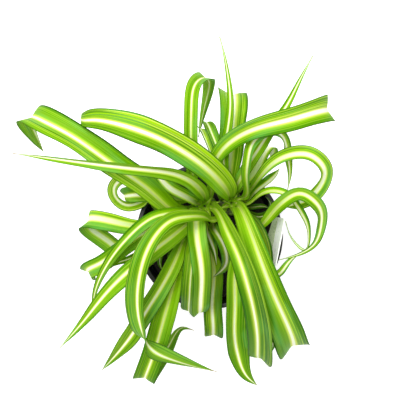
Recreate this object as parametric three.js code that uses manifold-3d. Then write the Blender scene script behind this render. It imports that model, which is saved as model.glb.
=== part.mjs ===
// A variegated spider plant in a round plastic nursery pot, in millimetres, +Z up.
// The origin is the centre of the pot's base, where the pot stands. +Y is the back of the plant.
// Four young plants share the pot. Each has a short crown in the soil, and its strap leaves
// rise from the crown, arch over and hang.

import * as THREE from 'three';
import { mergeVertices } from 'three/addons/utils/BufferGeometryUtils.js';
import Module from 'manifold-3d';

const wasm = await Module();
wasm.setup();

// Pot
const RIM_RADIUS = 65;
const POT_HEIGHT = 112;
const BASE_RADIUS = 47;
const WALL = 1.6;
const LIP_WIDTH = 4;
const LIP_DEPTH = 3;
const LIP_ROUND = 0.8;
const LIP_TAPER = 0.4;
const COLLAR_HEIGHT = 16;
const COLLAR_STEP = 2.2;
const COLLAR_ROUND = 0.6;
const FLOOR = 2.4;
const BASE_GROOVE = 1.5;
const GROOVE_INNER = 15;
const GROOVE_OUTER = 40;
const BASE_ROUND = 1.2;
const POT_SIDES = 64;
const DRAIN_HOLES = 8;
const DRAIN_RADIUS = 4;
const DRAIN_RING = 30;
const DRAIN_SIDES = 12;
const CUT_PAST = 1;

// Soil
const SOIL_TOP = 100;
const SOIL_RINGS = 9;
const SOIL_SIDES = 44;
const SOIL_EDGE = 6;
const SOIL_EDGE_SLOPE = 0.985;
const SOIL_WALL_GAP = 0.7;
const LEVEL_WITHIN = 0.01;
const FIT_GAP = 0.3;

// Crowns
const CROWN_STUB_RADIUS = 8;
const CROWN_STUB_DEPTH = 9;
const CROWN_STUB_TIP = 3;
const CROWN_STUB_TAPER = 0.7;
const CROWN_RADIUS = 11.4;
const CROWN_RISE = 6;
const CROWN_FALL = 0.1;
const CROWN_FOOT = 1.8;
const CROWN_BRIM = 0.8;
const CROWN_SIDES = 20;
const CROWN_RINGS = 4;

// Leaf blades
const BLADE = 0.75;
const FOLD_AT_BASE = 62;
const FOLD_OPENS_IN = 26;
const FOLD_OPEN = 19;
const BASE_WIDTH = 0.34;
const WIDEST_FROM = 0.34;
const TAPER_FROM = 0.5;
const TAPER_POWER = 1.5;
const TIP_WIDTH = 0.9;
const STEP = 9;
const FINE_STEPS = 4;
const FEWEST_RINGS = 6;
const SAMPLES_PER_SPAN = 24;

const DEGREE = Math.PI / 180;
const MERGE_WITHIN = 1e-4;

const CROWNS = {
  main: [19, 29],
  left: [-4, 26],
  front: [-16, 6],
  right: [34, 2],
};

// One row for each leaf: its place on its crown, as a radius and an angle, its width, and, if they
// aren't the usual ones, where it is widest, where its taper starts and the fold of its tip in
// degrees. Then the places that its midrib passes after the crown, as x, y, z and, where the blade
// turns about its own length, that turn in degrees.
const LEAVES = {
  // long arch to the back left, over everything
  main_leaf_01: { seat: [4.5, 130], width: 21, taper: 0.67, tip: -12, via: [
    [14, 40, 164], [-5, 58, 205], [-22, 68.5, 222], [-42, 77.5, 235], [-62, 83.6, 240], [-80, 87, 237],
    [-91, 88, 226, 6], [-95, 90.2, 214, 12], [-93, 91.2, 198, 12]] },
  // front right, the widest
  main_leaf_02: { seat: [6, -50], width: 30, widest: 0.74, taper: 0.84, via: [
    [27, 18, 168], [31, 6, 182], [38.5, -17, 195], [46.5, -38, 194], [57.3, -62, 181], [65, -79, 163],
    [69, -90, 144, -15], [71, -95.5, 120, -35], [70, -95.5, 95, -35]] },
  // arch over the left crown, round the left side and back to the front with a turned tip
  main_leaf_03: { seat: [5, -150], width: 16, widest: 0.62, taper: 0.78, via: [
    [8, 17, 124], [1, 14.3, 142, -10], [-2, 16.8, 160, -25], [-8, 19, 180, -45], [-18, 19, 196, -45],
    [-30, 16, 207, -35], [-44, 1, 212, -15], [-53, -22, 207], [-57, -46, 192], [-55, -72, 174, 20],
    [-48, -87, 164, 80], [-31, -99, 154, 140], [6, -114, 138, 160]] },
  // upper loop on the right
  main_leaf_04: { seat: [10.6, 22], width: 11.5, widest: 0.6, taper: 0.93, via: [
    [35, 41, 148], [44, 55, 178], [59, 65.2, 196], [75, 65.8, 199], [86.2, 58.5, 194, 8],
    [90.5, 50, 182, 35], [88.5, 41, 170, 62], [84, 34, 159, 80], [77, 29.5, 148, 90],
    [64, 25.5, 139, 92]] },
  // pointed, back right
  main_leaf_05: { seat: [8, 70], width: 10, via: [
    [24, 47.2, 164], [31, 60, 182], [40, 74, 194], [48.6, 88, 200], [57.7, 102, 206], [64.8, 116, 211],
    [76, 137, 212]] },
  // narrow arch that comes down on the right
  main_leaf_06: { seat: [7.3, 36], width: 11, taper: 0.66, via: [
    [31.3, 38.9, 162], [29, 50, 185], [29.6, 62.6, 199], [33.6, 74.6, 206], [43.6, 81, 208],
    [54.9, 78.5, 198, 26], [59.5, 71, 184, 65], [62, 65, 173, 76], [65, 53, 160, 82],
    [65, 40, 146, 88]] },
  // broad, straight back
  main_leaf_07: { seat: [10.8, 116], width: 25, widest: 0.6, taper: 0.86, via: [
    [15, 43, 140], [15, 55, 161], [15, 70, 177], [15.5, 84, 187], [16.5, 98, 193], [17, 108, 187, -10],
    [17, 114.9, 172, -20], [17, 116.9, 149, -20]] },
  // slender and pointed, straight back
  main_leaf_08: { seat: [5.5, 90], width: 8, via: [
    [13.5, 45.5, 162], [11, 62, 185], [12, 75, 197], [14, 88, 207], [15, 103, 216], [13, 121, 221],
    [10, 137, 222], [7, 149, 220]] },
  // two short ones at the back
  main_leaf_09: { seat: [8.5, 165], width: 9, taper: 0.8, via: [
    [6, 40.5, 146], [4, 60, 168], [0, 70, 177], [-4, 80, 180], [-7, 87, 172], [-8, 89, 150]] },
  main_leaf_10: { seat: [10.8, 136], width: 11, taper: 0.8, via: [
    [9, 46, 128], [9, 56, 142], [8, 68, 154], [3, 82, 160], [-1, 92, 156], [-3, 97, 140]] },
  main_leaf_11: { seat: [10.8, 84], width: 8, taper: 0.7, via: [
    [22, 47, 136], [28, 57, 153], [33, 68, 163], [37.5, 79, 167], [40, 86, 158], [41, 88, 140]] },
  // short, low ones on the right
  main_leaf_12: { seat: [10.5, 50], width: 12, taper: 0.8, via: [
    [31, 49, 136], [40, 60, 150], [44, 70, 156], [48, 75, 151], [52, 74, 138], [53, 70, 118]] },
  main_leaf_13: { seat: [11, 4], width: 9, taper: 0.8, via: [
    [35, 33, 122], [39, 39, 136], [46, 45, 145], [53, 51, 149], [58, 57, 147]] },
  main_leaf_14: { seat: [7.5, -5], width: 6.5, via: [
    [36, 30, 138], [44, 37, 151], [52, 39, 158], [61, 37, 160], [70, 29, 156], [78, 18, 148],
    [85, 2, 129.5], [83, -12, 112], [78, -8, 106], [72, 0, 108], [67, 13, 114]] },
  main_leaf_15: { seat: [11, -15], width: 7, via: [[37, 25, 115], [45, 26, 117], [52, 25, 113]] },
  main_leaf_16: { seat: [10.8, -32], width: 7, via: [
    [34, 20, 122], [43, 17, 128], [50, 20, 127], [53, 28, 121], [49, 35, 112]] },
  // dark one under the front right leaf
  main_leaf_17: { seat: [10.8, -58], width: 16, via: [
    [29, 16, 134], [37, 8, 148], [43, -6, 152], [46.4, -25, 146], [49.4, -45, 134], [51, -62, 122]] },

  // leftmost broad arch
  left_leaf_01: { seat: [11, 175], width: 23.5, taper: 0.78, via: [
    [-31, 23, 152], [-47, 38, 182], [-77, 60, 210], [-102, 77.5, 218], [-123, 88.5, 214],
    [-134, 93, 202], [-138, 88, 184, -20], [-137.5, 71, 150, -42]] },
  // long pointed, straight to the left
  left_leaf_02: { seat: [5.5, 116], width: 13.5, via: [
    [-7.2, 38.7, 168], [-15.5, 46, 188], [-25, 50, 200], [-44, 52.5, 216], [-78, 55.5, 229],
    [-106, 59, 231], [-142, 64, 224]] },
  left_leaf_03: { seat: [8.2, 154], width: 10.5, taper: 0.7, via: [
    [-15.3, 32.7, 152], [-26, 38.3, 173], [-33.5, 43.5, 183.5], [-38, 48.8, 186], [-40, 53.6, 180],
    [-40.6, 56.6, 164]] },
  // short broad one under the leftmost arch
  left_leaf_04: { seat: [12.2, 148], width: 15, taper: 0.75, via: [
    [-22, 33, 120], [-40, 36, 144], [-54, 37, 153], [-65.5, 36.5, 152], [-71.5, 35.5, 143],
    [-73, 35.5, 130]] },
  // curling ring
  left_leaf_05: { seat: [11, 128], width: 9.5, taper: 0.93, via: [
    [-25, 40, 143], [-48, 51, 163], [-66, 51, 162], [-79.5, 42.5, 150], [-79.2, 32, 137, -34],
    [-72, 26.5, 129, -66], [-60, 29, 122, -88], [-52, 35, 117, -95]] },
  // long thin hook
  left_leaf_06: { seat: [8.8, 206], width: 10.8, via: [
    [-18, 20.5, 150], [-28, 20, 174], [-43, 17, 184], [-60.5, 4, 182], [-77.5, -15, 172.5],
    [-91.5, -38, 158], [-97, -53, 145], [-100, -71, 127]] },
  // front left, straight and pointed
  left_leaf_07: { seat: [10.8, 230], width: 15.5, via: [
    [-19, 10, 150], [-32, -1, 170], [-55, -19, 183], [-79, -41, 176], [-100, -65, 159],
    [-127, -94, 136]] },
  // back, up and folded down again
  left_leaf_08: { seat: [9, 106], width: 11.5, taper: 0.68, via: [
    [-13.8, 47, 157], [-14.5, 60, 176], [-15, 77, 192], [-14.5, 98, 204], [-13.2, 113.5, 202],
    [-8.8, 123, 192], [-3, 127, 178, -10], [-0.8, 125.5, 164, -30], [-2.6, 117, 146, -20],
    [-6.8, 102, 124, -20], [-10, 88, 106, -20]] },
  // from under the long arch to the back right
  left_leaf_09: { seat: [6.6, 59], width: 21.5, widest: 0.9, taper: 0.84, via: [
    [1.9, 46.8, 160], [2.7, 58, 179], [8.5, 68.5, 195], [20, 77.5, 210], [37, 83.8, 224],
    [57, 88.5, 230], [73, 93.5, 227, -6], [85, 97.5, 215, -16], [87.5, 98.5, 192, -25],
    [86, 98.5, 165, -25]] },
  // front, over the middle
  left_leaf_10: { seat: [5.3, -23], width: 24, widest: 0.6, taper: 0.84, via: [
    [9.5, 19.6, 170, 10], [15, 8, 190], [23.8, -11, 204.5], [31.8, -34, 203], [37.4, -55, 190],
    [41.7, -78, 168], [43.8, -97, 143], [45, -107, 120], [44.5, -108, 94]] },
  // front centre
  left_leaf_11: { seat: [5.5, 250], width: 18, taper: 0.84, via: [
    [-11.5, 13.2, 162], [-10.5, -1, 174], [-8, -17, 175], [-7, -34, 165], [-8, -50, 151],
    [-8.5, -61.5, 138], [-9, -65.5, 127], [-9, -62.5, 117]] },
  // in the shade inside the pot
  left_leaf_12: { seat: [10.5, -52], width: 10, taper: 0.8, via: [
    [3.5, 8, 129], [6, 3.5, 147], [11, -5, 151], [14, -16, 146], [12.5, -25, 137], [3, -35, 128]] },
  left_leaf_13: { seat: [11, -102], width: 10, via: [
    [-5, 11, 118], [-1, 0, 122], [4, -13, 122], [6, -25, 118]] },

  // low, front left, wide, with its tip curled back under
  front_leaf_01: { seat: [10, 250], width: 21, taper: 0.66, via: [
    [-21, -9, 120], [-27, -27, 130], [-33.5, -49, 130.7], [-41, -75, 131.5], [-50, -105, 122],
    [-58.5, -128, 103], [-55, -126, 83], [-38, -105, 70], [-26, -90, 64], [-15, -93, 60]] },
  front_leaf_02: { seat: [4.5, 225], width: 17, taper: 0.68, via: [
    [-23.5, -4, 136], [-30, -20, 149], [-38, -36, 153], [-52, -59, 150], [-65, -80, 140],
    [-78, -98, 126], [-96, -120, 107]] },
  front_leaf_03: { seat: [4.5, -60], width: 15, taper: 0.82, via: [
    [-12.7, -4, 140], [-13.8, -14, 149], [-16, -32, 149], [-17.4, -50, 138.2], [-18.5, -61, 121],
    [-19, -68, 104], [-19, -68, 90]] },
  // broad, low, front
  front_leaf_04: { seat: [10, -50], width: 18, taper: 0.8, via: [
    [-3, -8, 108], [4, -25, 110], [4, -45, 113.5], [3, -62, 114.5], [4, -80, 109], [4, -90, 97],
    [4, -91.5, 78]] },
  // left, with the end bent down
  front_leaf_05: { seat: [4.5, 150], width: 15.5, taper: 0.92, via: [
    [-29, 12, 140], [-49, 6, 158, 15], [-73, -9, 160, 30], [-89, -21, 154, 42], [-100, -26.5, 145, 45],
    [-104, -31, 128, 32], [-104, -32, 100, 32]] },
  // left, folded back on itself
  front_leaf_06: { seat: [9, 172], width: 17, widest: 0.5, taper: 0.95, via: [
    [-38, 10, 130], [-65, 9, 142], [-83, 12.5, 146, 6], [-96, 14.5, 143, 10], [-105, 12.5, 131, 36],
    [-104, 4.5, 117, 62], [-95, -3.5, 108, 57], [-87, -11, 101, 60], [-79, -19, 96, 60]] },
  front_leaf_07: { seat: [9.5, 198], width: 7.5, via: [
    [-32, 2, 118], [-50, -8, 129], [-67, -18, 132], [-81, -23, 129], [-93, -31, 118]] },
  front_leaf_08: { seat: [10, 146], width: 8, via: [[-28, 15, 112], [-36, 17, 116], [-44, 15, 114]] },
  front_leaf_09: { seat: [10.5, 215], width: 7, via: [
    [-32, -4, 112], [-42, -14, 116], [-44, -24, 114], [-41, -32, 110]] },
  front_leaf_10: { seat: [10.5, 232], width: 7, via: [
    [-26, -5, 114], [-33, -14, 118], [-34, -24, 116], [-31, -32, 110]] },
  front_leaf_11: { seat: [10.5, 120], width: 8, via: [
    [-26, 22, 112], [-40, 23, 117], [-49, 26, 117], [-53, 31, 114]] },

  // lower loop on the right
  right_leaf_01: { seat: [5, 40], width: 11.5, taper: 0.5, via: [
    [44, 10, 138], [51, 20, 156], [60, 31, 176], [70.5, 36, 183], [82, 30, 180], [89.5, 20, 168],
    [91, 9.5, 156, 14], [88, -6, 140, 34], [75, -16, 126, 50], [60, -21, 118, 55]] },
  // long, front, pointed
  right_leaf_02: { seat: [4.5, -125], width: 21, taper: 0.72, via: [
    [27, -8, 138], [22, -31, 150], [22, -52, 146], [22, -79, 134], [25.5, -103, 114.8], [33, -125, 103],
    [43.5, -137, 94]] },
  right_leaf_03: { seat: [6, -45], width: 12, via: [
    [42, -14, 116], [50, -36, 120], [56.5, -60, 120], [57, -82, 114], [57, -98, 103], [57, -108, 88]] },
  right_leaf_04: { seat: [10.5, -62], width: 8, via: [
    [41, -19, 111], [49, -30, 115], [59, -34, 119], [67, -26, 117], [75, -19, 110], [82, -15, 103]] },
};

// Label: a plastic care card on a stake, leaning out against the pot's right wall
const LABEL_WIDTH = 42;
const LABEL_THICK = 0.9;
const LABEL_CORNER = 3;
const LABEL_FOOT = [49.2, -3.1, 88];
const LABEL_TOP = [58.4, -4.8, 150];
const LABEL_YAW = -100.7;
const STAKE_WIDTH = 9;
const STAKE_TO = 112;
const STAKE_POINT = 8;
const STAKE_POINT_WIDTH = 0.3;
const SHOULDER_SLOPE = 6;
const CORNER_STEPS = 3;

const LEAF_GREEN = '#5fa51e';
const CROWN_PALE = '#c9d98f';
const POT_BLACK = '#1d2224';
const SOIL_BROWN = '#2b1d13';
const CARD_WHITE = '#e8ece6';

function toManifold(geometry) {
  const plain = geometry.clone();
  plain.deleteAttribute('normal');
  plain.deleteAttribute('uv');
  const merged = mergeVertices(plain, MERGE_WITHIN);
  return new wasm.Manifold(new wasm.Mesh({
    numProp: 3,
    vertProperties: merged.attributes.position.array,
    triVerts: Uint32Array.from(merged.index.array),
  }));
}

function fromManifold(solid) {
  const mesh = solid.getMesh();
  const geometry = new THREE.BufferGeometry();
  geometry.setAttribute('position', new THREE.BufferAttribute(mesh.vertProperties.slice(), 3));
  geometry.setIndex(new THREE.BufferAttribute(mesh.triVerts.slice(), 1));
  return geometry;
}

function lathe(profile, sides) {
  const geometry = new THREE.LatheGeometry(profile.map(([r, z]) => new THREE.Vector2(r, z)), sides);
  return geometry.rotateX(Math.PI / 2);
}

function cylinder(radius, low, high, sides) {
  const geometry = new THREE.CylinderGeometry(radius, radius, high - low, sides);
  return geometry.rotateX(Math.PI / 2).translate(0, 0, (low + high) / 2);
}

// The pot's inner radius at a height, on the tapering wall below the collar
function innerRadius(z) {
  const wallTop = RIM_RADIUS - LIP_WIDTH - COLLAR_STEP + WALL;
  return BASE_RADIUS - WALL + (wallTop - BASE_RADIUS) * (z / (POT_HEIGHT - COLLAR_HEIGHT));
}

function potGeometry() {
  const collarZ = POT_HEIGHT - COLLAR_HEIGHT;
  const inner = RIM_RADIUS - LIP_WIDTH;
  const shell = lathe([
    [0, FLOOR + BASE_GROOVE],
    [innerRadius(FLOOR + BASE_GROOVE), FLOOR + BASE_GROOVE],
    [innerRadius(collarZ), collarZ],
    [inner - COLLAR_ROUND, collarZ + COLLAR_STEP],
    [inner, POT_HEIGHT - LIP_ROUND],
    [inner + LIP_ROUND, POT_HEIGHT],
    [RIM_RADIUS - LIP_ROUND, POT_HEIGHT],
    [RIM_RADIUS, POT_HEIGHT - LIP_ROUND],
    [RIM_RADIUS, POT_HEIGHT - LIP_DEPTH],
    [inner + WALL + LIP_TAPER, POT_HEIGHT - LIP_DEPTH - COLLAR_ROUND],
    [inner + WALL - LIP_TAPER, collarZ + COLLAR_STEP - COLLAR_ROUND],
    [innerRadius(collarZ) + WALL, collarZ - COLLAR_ROUND],
    [BASE_RADIUS, BASE_ROUND],
    [BASE_RADIUS - BASE_ROUND, 0],
    [GROOVE_OUTER, 0],
    [GROOVE_OUTER - BASE_GROOVE, BASE_GROOVE],
    [GROOVE_INNER + BASE_GROOVE, BASE_GROOVE],
    [GROOVE_INNER, 0],
    [0, 0],
  ].reverse(), POT_SIDES);
  let pot = toManifold(shell);
  for (let i = 0; i < DRAIN_HOLES; i++) {
    const angle = (i + 0.5) * 2 * Math.PI / DRAIN_HOLES;
    const hole = cylinder(DRAIN_RADIUS, -CUT_PAST, FLOOR + BASE_GROOVE + CUT_PAST, DRAIN_SIDES);
    hole.translate(DRAIN_RING * Math.cos(angle), DRAIN_RING * Math.sin(angle), 0);
    pot = pot.subtract(toManifold(hole));
  }
  return fromManifold(pot);
}

// Height of the soil's lumps at a place
function soilLumps(x, y) {
  return 0.9 * Math.sin(0.31 * x + 1.2) * Math.cos(0.27 * y)
    + 0.6 * Math.sin(0.53 * x - 0.41 * y + 0.5) + 0.4 * Math.cos(0.71 * y + 0.33 * x);
}

function soilGeometry() {
  const floor = FLOOR + BASE_GROOVE + FIT_GAP;
  const edge = innerRadius(SOIL_TOP - SOIL_EDGE) - SOIL_WALL_GAP;
  const profile = [[0, floor], [innerRadius(floor) - SOIL_WALL_GAP, floor], [edge, SOIL_TOP - SOIL_EDGE]];
  for (let i = SOIL_RINGS; i >= 0; i--) profile.push([edge * SOIL_EDGE_SLOPE * i / SOIL_RINGS, SOIL_TOP]);
  const body = lathe(profile, SOIL_SIDES);
  const place = body.attributes.position;
  for (let i = 0; i < place.count; i++) {
    if (Math.abs(place.getZ(i) - SOIL_TOP) > LEVEL_WITHIN) continue;
    place.setZ(i, SOIL_TOP + soilLumps(place.getX(i), place.getY(i)));
  }
  let soil = toManifold(body);
  for (const [x, y] of Object.values(CROWNS)) {
    const low = SOIL_TOP - CROWN_STUB_DEPTH - FIT_GAP;
    const hole = cylinder(CROWN_STUB_RADIUS + FIT_GAP, low, SOIL_TOP + CROWN_STUB_DEPTH, CROWN_SIDES);
    soil = soil.subtract(toManifold(hole.translate(x, y, 0)));
  }
  soil = soil.subtract(toManifold(labelGeometry(FIT_GAP)));
  return fromManifold(soil);
}

// The crown's top surface, at a distance from its axis
function crownTop(radius) {
  return SOIL_TOP + CROWN_FOOT + CROWN_RISE - CROWN_FALL * (radius / CROWN_RADIUS) ** 2;
}

function crownGeometry(x, y) {
  const profile = [
    [0, SOIL_TOP - CROWN_STUB_DEPTH],
    [CROWN_STUB_RADIUS * CROWN_STUB_TAPER, SOIL_TOP - CROWN_STUB_DEPTH],
    [CROWN_STUB_RADIUS, SOIL_TOP - CROWN_STUB_DEPTH + CROWN_STUB_TIP],
    [CROWN_STUB_RADIUS, SOIL_TOP + CROWN_FOOT],
    [CROWN_RADIUS, SOIL_TOP + CROWN_FOOT + CROWN_BRIM],
  ];
  for (let i = CROWN_RINGS; i >= 0; i--) {
    const radius = CROWN_RADIUS * i / CROWN_RINGS;
    profile.push([radius, crownTop(radius)]);
  }
  return lathe(profile, CROWN_SIDES).translate(x, y, 0);
}

// The distance between two places, whose first three numbers are x, y and z
function distance(a, b) {
  return Math.hypot(b[0] - a[0], b[1] - a[1], b[2] - a[2]);
}

// A smooth curve through points of any dimension: a cubic spline with chord-length knots and
// straight ends, given as a list of close samples
function splineSamples(points, perSpan) {
  const last = points.length - 1;
  const gaps = [];
  for (let i = 0; i < last; i++) gaps.push(distance(points[i], points[i + 1]));
  const bend = points[0].map((_, k) => {
    const upper = [0];
    const right = [0];
    for (let i = 1; i < last; i++) {
      const after = (points[i + 1][k] - points[i][k]) / gaps[i];
      const before = (points[i][k] - points[i - 1][k]) / gaps[i - 1];
      const pivot = 2 * (gaps[i - 1] + gaps[i]) - gaps[i - 1] * upper[i - 1];
      upper.push(gaps[i] / pivot);
      right.push((6 * (after - before) - gaps[i - 1] * right[i - 1]) / pivot);
    }
    const second = new Array(last + 1).fill(0);
    for (let i = last - 1; i > 0; i--) second[i] = right[i] - upper[i] * second[i + 1];
    return second;
  });
  const samples = [points[0]];
  for (let i = 0; i < last; i++) {
    for (let j = 1; j <= perSpan; j++) {
      const b = j / perSpan;
      const a = 1 - b;
      const h = gaps[i] ** 2 / 6;
      samples.push(points[i].map((value, k) => a * value + b * points[i + 1][k]
        + h * ((a ** 3 - a) * bend[k][i] + (b ** 3 - b) * bend[k][i + 1])));
    }
  }
  return samples;
}

// The samples taken again at even steps along the curve
function evenStations(samples, count) {
  const along = [0];
  for (let i = 1; i < samples.length; i++) {
    along.push(along[i - 1] + distance(samples[i - 1], samples[i]));
  }
  const length = along[along.length - 1];
  const stations = [];
  let i = 0;
  for (let n = 0; n <= count; n++) {
    const want = length * n / count;
    while (i < along.length - 2 && along[i + 1] < want) i++;
    const part = (want - along[i]) / (along[i + 1] - along[i]);
    stations.push(samples[i].map((value, k) => value + (samples[i + 1][k] - value) * part));
  }
  return { stations, length };
}

// Blade width, as a part of the full width, at a part of the leaf's length
function bladeWidth(along, { widest = WIDEST_FROM, taper = TAPER_FROM }) {
  const start = Math.min(1, along / widest);
  const rise = BASE_WIDTH + (1 - BASE_WIDTH) * start * start * (3 - 2 * start);
  const past = Math.max(0, (along - taper) / (1 - taper));
  return rise * (1 - past ** TAPER_POWER);
}

// The place where a leaf's midrib starts on its crown, clear of the crown's top
function leafSeat([cx, cy], { seat: [radius, angle], via }) {
  const x = cx + radius * Math.cos(angle * DEGREE);
  const y = cy + radius * Math.sin(angle * DEGREE);
  const lean = Math.atan2(Math.hypot(via[0][0] - x, via[0][1] - y), via[0][2] - crownTop(0));
  const below = BLADE / Math.cos(FOLD_AT_BASE * DEGREE) * Math.sin(lean);
  return [x, y, crownTop(0) + FIT_GAP + below, 0];
}

function leafGeometry(crown, leaf) {
  const start = leafSeat(crown, leaf);
  const points = [start, ...leaf.via.map(([x, y, z, turn = 0]) => [x, y, z, turn])];
  const samples = splineSamples(points, SAMPLES_PER_SPAN);
  const rough = evenStations(samples, 1).length;
  const rings = Math.max(FEWEST_RINGS, Math.round(rough / STEP));
  const count = rings * FINE_STEPS;
  const { stations, length } = evenStations(samples, count);
  const place = stations.map(([x, y, z]) => new THREE.Vector3(x, y, z));
  const outward = new THREE.Vector3(start[0] - crown[0], start[1] - crown[1], 0).normalize();
  const side = outward.clone().cross(new THREE.Vector3(0, 0, 1));
  const positions = [];
  for (let i = 0; i <= count; i++) {
    const along = place[Math.min(i + 1, count)].clone().sub(place[Math.max(i - 1, 0)]).normalize();
    side.addScaledVector(along, -side.dot(along)).normalize();
    if (i % FINE_STEPS) continue;
    const across = side.clone().applyAxisAngle(along, stations[i][3] * DEGREE);
    const up = across.clone().cross(along);
    const closed = Math.exp(-length * i / count / FOLD_OPENS_IN);
    const open = FOLD_OPEN + ((leaf.tip ?? FOLD_OPEN) - FOLD_OPEN) * (i / count) ** 2;
    const fold = (open + (FOLD_AT_BASE - open) * closed) * DEGREE;
    const half = Math.max(TIP_WIDTH, leaf.width * bladeWidth(i / count, leaf)) / 2;
    const ring = (sideways, upward) => {
      const p = place[i].clone().addScaledVector(across, sideways).addScaledVector(up, upward);
      positions.push(p.x, p.y, p.z);
    };
    const wing = [half * Math.cos(fold), half * Math.sin(fold)];
    const under = [BLADE * Math.sin(fold), -BLADE * Math.cos(fold)];
    ring(-wing[0], wing[1]);
    ring(0, 0);
    ring(wing[0], wing[1]);
    ring(wing[0] + under[0], wing[1] + under[1]);
    ring(0, -BLADE / Math.cos(fold));
    ring(-wing[0] - under[0], wing[1] + under[1]);
  }
  const index = [0, 4, 1, 0, 5, 4, 1, 3, 2, 1, 4, 3];
  const split = [[0, 1, 0], [1, 2, 0], [2, 3, 0], [3, 4, 1], [4, 5, 1], [5, 0, 0]];
  for (let r = 0; r < rings; r++) {
    const here = 6 * r;
    const next = here + 6;
    for (const [a, b, other] of split) {
      if (other) index.push(here + a, here + b, next + a, here + b, next + b, next + a);
      else index.push(here + a, next + b, next + a, here + a, here + b, next + b);
    }
  }
  const end = [[0, 1, 4], [0, 4, 5], [1, 2, 3], [1, 3, 4]];
  for (const corners of end) index.push(...corners.map((corner) => 6 * rings + corner));
  const geometry = new THREE.BufferGeometry();
  geometry.setAttribute('position', new THREE.Float32BufferAttribute(positions, 3));
  geometry.setIndex(index);
  return geometry;
}

// The card and its stake in one outline, extruded, then stood up and leaned. Grown by a margin,
// the same shape cuts its slot in the soil.
function labelGeometry(margin) {
  const foot = new THREE.Vector3(...LABEL_FOOT);
  const top = new THREE.Vector3(...LABEL_TOP);
  const length = foot.distanceTo(top);
  const half = LABEL_WIDTH / 2 + margin;
  const stake = STAKE_WIDTH / 2 + margin;
  const shoulder = STAKE_TO - LABEL_FOOT[2];
  const shape = new THREE.Shape();
  shape.moveTo(-stake * STAKE_POINT_WIDTH, -margin);
  shape.lineTo(stake * STAKE_POINT_WIDTH, -margin);
  shape.lineTo(stake, STAKE_POINT);
  shape.lineTo(stake, shoulder - SHOULDER_SLOPE);
  shape.lineTo(half - LABEL_CORNER, shoulder);
  shape.absarc(half - LABEL_CORNER, shoulder + LABEL_CORNER, LABEL_CORNER, -Math.PI / 2, 0);
  shape.absarc(half - LABEL_CORNER, length - LABEL_CORNER, LABEL_CORNER, 0, Math.PI / 2);
  shape.absarc(-half + LABEL_CORNER, length - LABEL_CORNER, LABEL_CORNER, Math.PI / 2, Math.PI);
  shape.absarc(-half + LABEL_CORNER, shoulder + LABEL_CORNER, LABEL_CORNER, Math.PI, Math.PI * 1.5);
  shape.lineTo(-stake, shoulder - SHOULDER_SLOPE);
  shape.lineTo(-stake, STAKE_POINT);
  const depth = LABEL_THICK + 2 * margin;
  const card = new THREE.ExtrudeGeometry(shape, { depth, bevelEnabled: false, curveSegments: CORNER_STEPS });
  card.translate(0, 0, -depth / 2);
  const rise = top.clone().sub(foot).normalize();
  const level = new THREE.Vector3(Math.cos(LABEL_YAW * DEGREE), Math.sin(LABEL_YAW * DEGREE), 0);
  const face = level.clone().cross(rise).normalize();
  const flat = rise.clone().cross(face);
  card.applyMatrix4(new THREE.Matrix4().makeBasis(flat, rise, face).setPosition(foot));
  return card;
}

const plant = new THREE.Group();

function addPiece(name, geometry, color, roughness) {
  const material = new THREE.MeshStandardMaterial({ color, roughness, metalness: 0 });
  const mesh = new THREE.Mesh(geometry, material);
  mesh.name = name;
  plant.add(mesh);
}

addPiece('pot', potGeometry(), POT_BLACK, 0.45);
addPiece('soil', soilGeometry(), SOIL_BROWN, 0.95);
addPiece('plant_label', labelGeometry(0), CARD_WHITE, 0.5);
for (const [name, [x, y]] of Object.entries(CROWNS)) {
  addPiece(`crown_${name}`, crownGeometry(x, y), CROWN_PALE, 0.6);
}
for (const [name, leaf] of Object.entries(LEAVES)) {
  const crown = CROWNS[name.split('_')[0]];
  addPiece(name, leafGeometry(crown, leaf), LEAF_GREEN, 0.5);
}

export default plant;
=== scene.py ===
# %% [markdown]
# A variegated spider plant in a round nursery pot, seen from straight above.
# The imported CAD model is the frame: every leaf, crown and wall here keeps the place and the form
# that it has there, in metres, with +Z up and the pot's base at the origin.

# %% Load the frame
import math

import bpy
import numpy as np
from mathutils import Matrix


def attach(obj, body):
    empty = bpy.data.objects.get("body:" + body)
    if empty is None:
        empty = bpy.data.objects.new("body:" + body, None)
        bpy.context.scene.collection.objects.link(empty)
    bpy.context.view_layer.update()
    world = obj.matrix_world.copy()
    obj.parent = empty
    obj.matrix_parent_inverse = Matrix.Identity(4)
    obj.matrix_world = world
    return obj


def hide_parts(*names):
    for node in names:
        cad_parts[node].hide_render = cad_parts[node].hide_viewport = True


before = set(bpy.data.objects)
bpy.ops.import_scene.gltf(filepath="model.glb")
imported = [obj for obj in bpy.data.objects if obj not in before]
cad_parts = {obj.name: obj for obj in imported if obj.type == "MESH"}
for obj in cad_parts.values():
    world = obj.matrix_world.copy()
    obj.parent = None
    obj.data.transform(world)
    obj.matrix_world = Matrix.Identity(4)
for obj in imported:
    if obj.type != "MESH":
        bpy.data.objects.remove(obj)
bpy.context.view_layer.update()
MM = 0.001
print("CAD nodes:", len(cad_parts))

# %% [markdown]
# The photograph was taken from above the pot, a little behind its middle, with the back of the plant
# at the top of the picture. The camera's height makes the pot's rim as wide as it is there. Colours
# stay vivid with the standard view, where the default view would grey the bright leaves.

# %% Camera
CAMERA_AT = (-1.4 * MM, 24.6 * MM, 712 * MM)
SENSOR = 36.0
LENS = 58.7
CLIP_FROM = 10 * MM

scene = bpy.context.scene
lens = bpy.data.cameras.new("camera")
lens.sensor_width = SENSOR
lens.lens = LENS
lens.clip_start = CLIP_FROM
camera = bpy.data.objects.new("camera", lens)
camera.location = CAMERA_AT
scene.collection.objects.link(camera)
scene.camera = camera
scene.view_settings.view_transform = "Standard"
print("camera height in mm:", round(camera.location.z / MM))

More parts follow.
